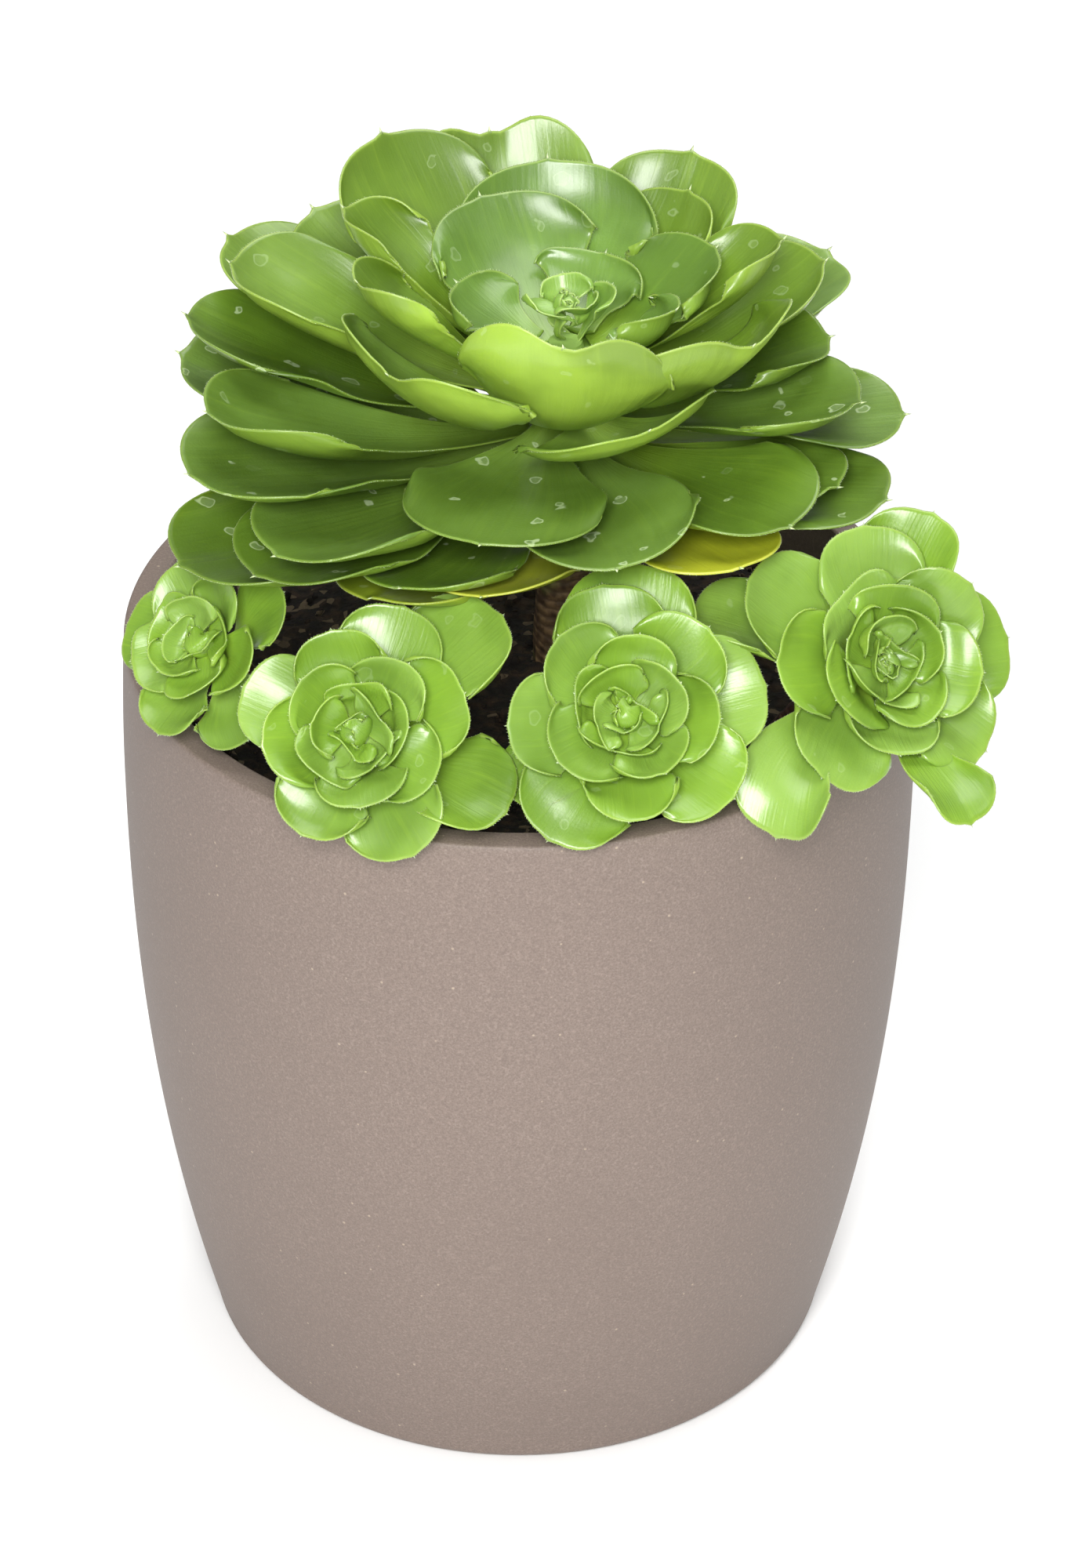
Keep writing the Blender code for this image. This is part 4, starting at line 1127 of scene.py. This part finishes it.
# ---------------------------------------------------------------- pot, soil, stems
@dataclass
class Pot:
    """The tapered round pot, turned from a fine profile."""

    segments: int = 288
    clay: FiredClay = field(default_factory=FiredClay)

    def outer_radius(self, z: float) -> float:
        """Give the side's outer radius at height z."""
        if z >= POT_BELLY_Z:
            share = (z - POT_BELLY_Z) / (POT_HEIGHT - POT_BELLY_Z)
            return POT_BELLY_R + (POT_RIM_R - POT_BELLY_R) * share ** 2
        share = (POT_BELLY_Z - z) / POT_BELLY_Z
        return POT_BELLY_R + (POT_FOOT_R - POT_BELLY_R) * share ** 2.3

    def inner_radius(self, z: float) -> float:
        """Give the wall's inner radius at height z."""
        return self.outer_radius(z) - POT_WALL

    def profile(self) -> list[tuple[float, float]]:
        """List the wall's outline from the inside floor over the rim to the base.

        Returns:
            Radius and height of each point.
        """
        points = [(self.inner_radius(z) * k, POT_FLOOR) for k, z in ((0.02, POT_FLOOR), (0.5, POT_FLOOR))]
        points += [(self.inner_radius(z), z) for z in np.linspace(POT_FLOOR, POT_HEIGHT - RIM_ROUND, 34)]
        top = POT_HEIGHT - RIM_ROUND
        for centre, start in ((POT_RIM_R - POT_WALL + RIM_ROUND, 180), (POT_RIM_R - RIM_ROUND, 90)):
            for i in range(1, 8):
                angle = math.radians(start - 90 * i / 8)
                points.append((centre + RIM_ROUND * math.cos(angle), top + RIM_ROUND * math.sin(angle)))
        points += [(self.outer_radius(z), z) for z in np.linspace(top, POT_FOOT_ROUND, 60)]
        centre = self.outer_radius(POT_FOOT_ROUND) - POT_FOOT_ROUND
        for i in range(1, 9):
            angle = math.pi / 2 * i / 8
            points.append((centre + POT_FOOT_ROUND * math.cos(angle),
                           POT_FOOT_ROUND * (1 - math.sin(angle))))
        points.append((centre * 0.5, 0.0))
        points.append((0.002, 0.0))
        return points

    def build(self) -> None:
        """Turn and dress the pot."""
        obj = turned("pot_wall", self.profile(), self.segments, self.clay.build())
        stand_for(obj, "pot")


def turned(name: str, profile: list[tuple[float, float]], segments: int,
           mat: bpy.types.Material) -> bpy.types.Object:
    """Turn a profile about Z and close both ends.

    Args:
        name: the piece's name.
        profile: radius and height of each point.
        segments: faces round the piece.
        mat: material.

    Returns:
        The closed piece, with its UV map.
    """
    points = np.array(profile)
    run = np.concatenate([[0.0], np.cumsum(np.linalg.norm(np.diff(points, axis=0), axis=1))])
    run /= run[-1]
    form = bmesh.new()
    layer = form.loops.layers.uv.new("OFBake")
    rings = []
    for r, z in points:
        rings.append([form.verts.new((r * math.cos(a), r * math.sin(a), z))
                      for a in np.linspace(0, math.tau, segments, endpoint=False)])
    for i in range(len(rings) - 1):
        for k in range(segments):
            n = (k + 1) % segments
            face = form.faces.new((rings[i][k], rings[i][n], rings[i + 1][n], rings[i + 1][k]))
            u, u2 = k / segments, (k + 1) / segments
            spots = ((u, run[i]), (u2, run[i]), (u2, run[i + 1]), (u, run[i + 1]))
            for loop, spot in zip(face.loops, spots):
                loop[layer].uv = (0.01 + 0.98 * spot[0], 0.01 + 0.98 * spot[1])
    for ring in (rings[0], rings[-1]):
        form.faces.new(ring)
    bmesh.ops.recalc_face_normals(form, faces=form.faces)
    mesh = bpy.data.meshes.new(name)
    form.to_mesh(mesh)
    form.free()
    return link_object(name, mesh, mat)


@dataclass
class Soil:
    """Crumbly potting mix: a low mound, roughened, with loose crumbs on top."""

    pot: Pot
    rings: int = 70
    segments: int = 260
    crumbs: int = 900
    seed: int = 7

    def height(self, r: float) -> float:
        """Give the mound's height at radius r."""
        share = min(1.0, r / self.pot.inner_radius(POT_HEIGHT - SOIL_DROP))
        return POT_HEIGHT - SOIL_DROP + SOIL_MOUND * (1 - share ** 2)

    def build(self) -> None:
        """Build the mound and its crumbs as one piece."""
        rng = np.random.default_rng(self.seed)
        mat = PottingMix().build()
        top_r = self.pot.inner_radius(POT_HEIGHT - SOIL_DROP) - FIT
        profile = [(r, self.height(r)) for r in np.linspace(0.001, top_r, self.rings)]
        for z in np.linspace(POT_HEIGHT - SOIL_DROP, POT_FLOOR + FIT, 9)[1:]:
            profile.append((self.pot.inner_radius(z) - 2 * FIT, z))
        profile.append((0.001, POT_FLOOR + FIT))
        obj = turned("potting_mix", profile, self.segments, mat)
        mesh = obj.data
        points = np.zeros(len(mesh.vertices) * 3)
        mesh.vertices.foreach_get("co", points)
        points = points.reshape(-1, 3)
        r = np.hypot(points[:, 0], points[:, 1])
        top = points[:, 2] > POT_HEIGHT - SOIL_DROP - 0.0005
        lumps = np.zeros(len(points))
        for scale, depth in ((90.0, 0.0016), (230.0, 0.0010), (520.0, 0.0006)):
            turn = rng.uniform(0, math.tau, (5, 3))
            way = rng.normal(0, 1, (5, 2))
            for (a, b, c), (x, y) in zip(turn, way):
                swell = np.sin(scale * x * points[:, 0] + a)
                lumps += depth / 2 * swell * np.sin(scale * y * points[:, 1] + b)
        points[:, 2] += np.where(top, lumps * np.clip((top_r - r) / 0.002, 0, 1), 0)
        mesh.vertices.foreach_set("co", points.ravel())
        form = bmesh.new()
        form.from_mesh(mesh)
        for _ in range(self.crumbs):
            r = top_r * 0.97 * math.sqrt(rng.uniform())
            a = rng.uniform(0, math.tau)
            size = 0.0009 * (0.6 + 2.0 * rng.uniform() ** 3)
            spot = Matrix.Translation((r * math.cos(a), r * math.sin(a), self.height(r) + size * 0.5))
            turn = Matrix.Rotation(rng.uniform(0, math.tau), 4, Vector(rng.normal(0, 1, 3)).normalized())
            shape = Matrix.Diagonal((*(size * rng.uniform(0.6, 1.4, 3)), 1.0))
            bmesh.ops.create_icosphere(form, subdivisions=1, radius=1.0, matrix=spot @ turn @ shape)
        form.to_mesh(mesh)
        form.free()
        mesh.polygons.foreach_set("use_smooth", [True] * len(mesh.polygons))
        mesh.update()
        stand_for(obj, "potting_soil")


@dataclass
class Stems:
    """Bark for the stems, which keep the shape of their solids."""

    def build(self) -> None:
        """Dress the solids' stems with bark."""
        tan = StemBark("stem_bark_tan", "#8a6f4e", "#4d3a28", "#7d8a45").build()
        plum = StemBark("stem_bark_plum", "#6b4a3c", "#3a241f", "#7a7a44").build()
        for name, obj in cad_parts.items():
            if name.endswith("_stem"):
                mat = tan if name == "main_stem" else plum
                obj.data.materials.clear()
                obj.data.materials.append(mat)
                LOG.info("%s: bark", name)


# ---------------------------------------------------------------- studio
@dataclass
class Studio:
    """Pale floor, soft light and the camera."""

    floor_size: float = 14.0
    aim: tuple = (0.0, 0.0, 0.22)
    camera_at: tuple = (0.0076, -1.1796, 0.9835)
    pitch: float = 55.57
    roll: float = 0.41
    lens: float = 115.4

    def floor(self) -> None:
        """Lay a plain pale floor."""
        mat, tree, shader = new_material("studio_paper_white")
        # seamless paper: nearly white, with the faintest unevenness
        where = add(tree, "TexCoord").outputs["Object"]
        tone = add(tree, "TexNoise", {"Vector": where, "Scale": 3.0}, 0)
        colour = add(tree, "Mix", {0: tone, 6: linear("#f4f4f3"), 7: linear("#f8f8f7")}, 2)
        tree.links.new(colour, shader.inputs["Base Color"])
        shader.inputs["Roughness"].default_value = 0.8
        mesh = bpy.data.meshes.new("studio_floor")
        h = self.floor_size / 2
        mesh.from_pydata([(-h, -h, 0), (h, -h, 0), (h, h, 0), (-h, h, 0)], [], [(0, 1, 2, 3)])
        link_object("studio_floor", mesh, mat)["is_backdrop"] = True

    def light(self, name: str, at: tuple, size: tuple, power: float) -> None:
        """Hang one white soft box, aimed at the plant.

        Args:
            name: the light's name.
            at: where it hangs.
            size: its width and height.
            power: watts.
        """
        lamp = bpy.data.lights.new(name, "AREA")
        lamp.shape = "RECTANGLE"
        lamp.size, lamp.size_y = size
        lamp.energy = power
        obj = bpy.data.objects.new(name, lamp)
        bpy.context.scene.collection.objects.link(obj)
        obj.location = at
        obj.rotation_euler = (Vector(self.aim) - Vector(at)).to_track_quat("-Z", "Y").to_euler()

    def build(self) -> None:
        """Set up floor, lights and camera."""
        self.floor()
        world = bpy.data.worlds.new("studio_room")
        world.use_nodes = True
        back = world.node_tree.nodes["Background"]
        back.inputs["Color"].default_value = linear("#f7f9fc")
        back.inputs["Strength"].default_value = 0.26
        bpy.context.scene.world = world
        self.light("key_soft_box", (-0.15, -1.7, 1.5), (0.8, 0.8), 62.0)
        self.light("top_soft_box", (0.3, 0.5, 2.2), (1.6, 1.6), 38.0)
        self.light("left_soft_box", (-2.0, -0.2, 1.0), (0.9, 1.6), 0.8)
        self.light("right_soft_box", (2.0, 0.0, 1.1), (0.9, 1.6), 0.4)
        scene = bpy.context.scene
        scene.view_settings.view_transform = "Standard"
        lens = bpy.data.cameras.new("camera")
        lens.lens = self.lens
        lens.clip_start = 0.05
        camera = bpy.data.objects.new("camera", lens)
        scene.collection.objects.link(camera)
        pitch = Matrix.Rotation(math.radians(self.pitch), 4, "X")
        roll = Matrix.Rotation(math.radians(self.roll), 4, "Z")
        camera.matrix_world = Matrix.Translation(self.camera_at) @ pitch @ roll
        scene.camera = camera


def corners(box: tuple) -> list[list[float]]:
    """Give a box's two corners as plain numbers."""
    return [[float(x) for x in corner] for corner in box]


def main() -> None:
    """Build every piece in order."""
    logging.basicConfig(level=logging.INFO, format="%(message)s")
    cad_box = corners(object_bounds())
    pot = Pot()
    pot.build()
    Soil(pot).build()
    Stems().build()
    LargeRosette().build()
    small = LeafSkin(
        "leaf_skin_offset", "#7ba032", "#8fb042", "#a6c838", "#4a6c1a", "#a6bc64", roughness=0.34,
        glow_reach=0.6, spots=0.12, rim=0.2).build()
    for item in OFFSETS:
        item.build(small, "leaf_offset", item.name + "_rosette")
    fresh = LeafSkin("leaf_skin_bud", "#84a848", "#94b852", "#a4c44e", "#5e8430", "#b4cc78").build()
    crown = (STEM_X, STEM_Y, STEM_TOP_Z + BUD_LIFT)
    bud = SmallRosette("central_bud", crown, 4, 180, 0.031, 8, 35, openness=0.3)
    bud.build(fresh, "leaf_bud", "central_bud")
    Studio().build()
    {"cad": cad_box, "visual": corners(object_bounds())}


if __name__ == "__main__":
    main()
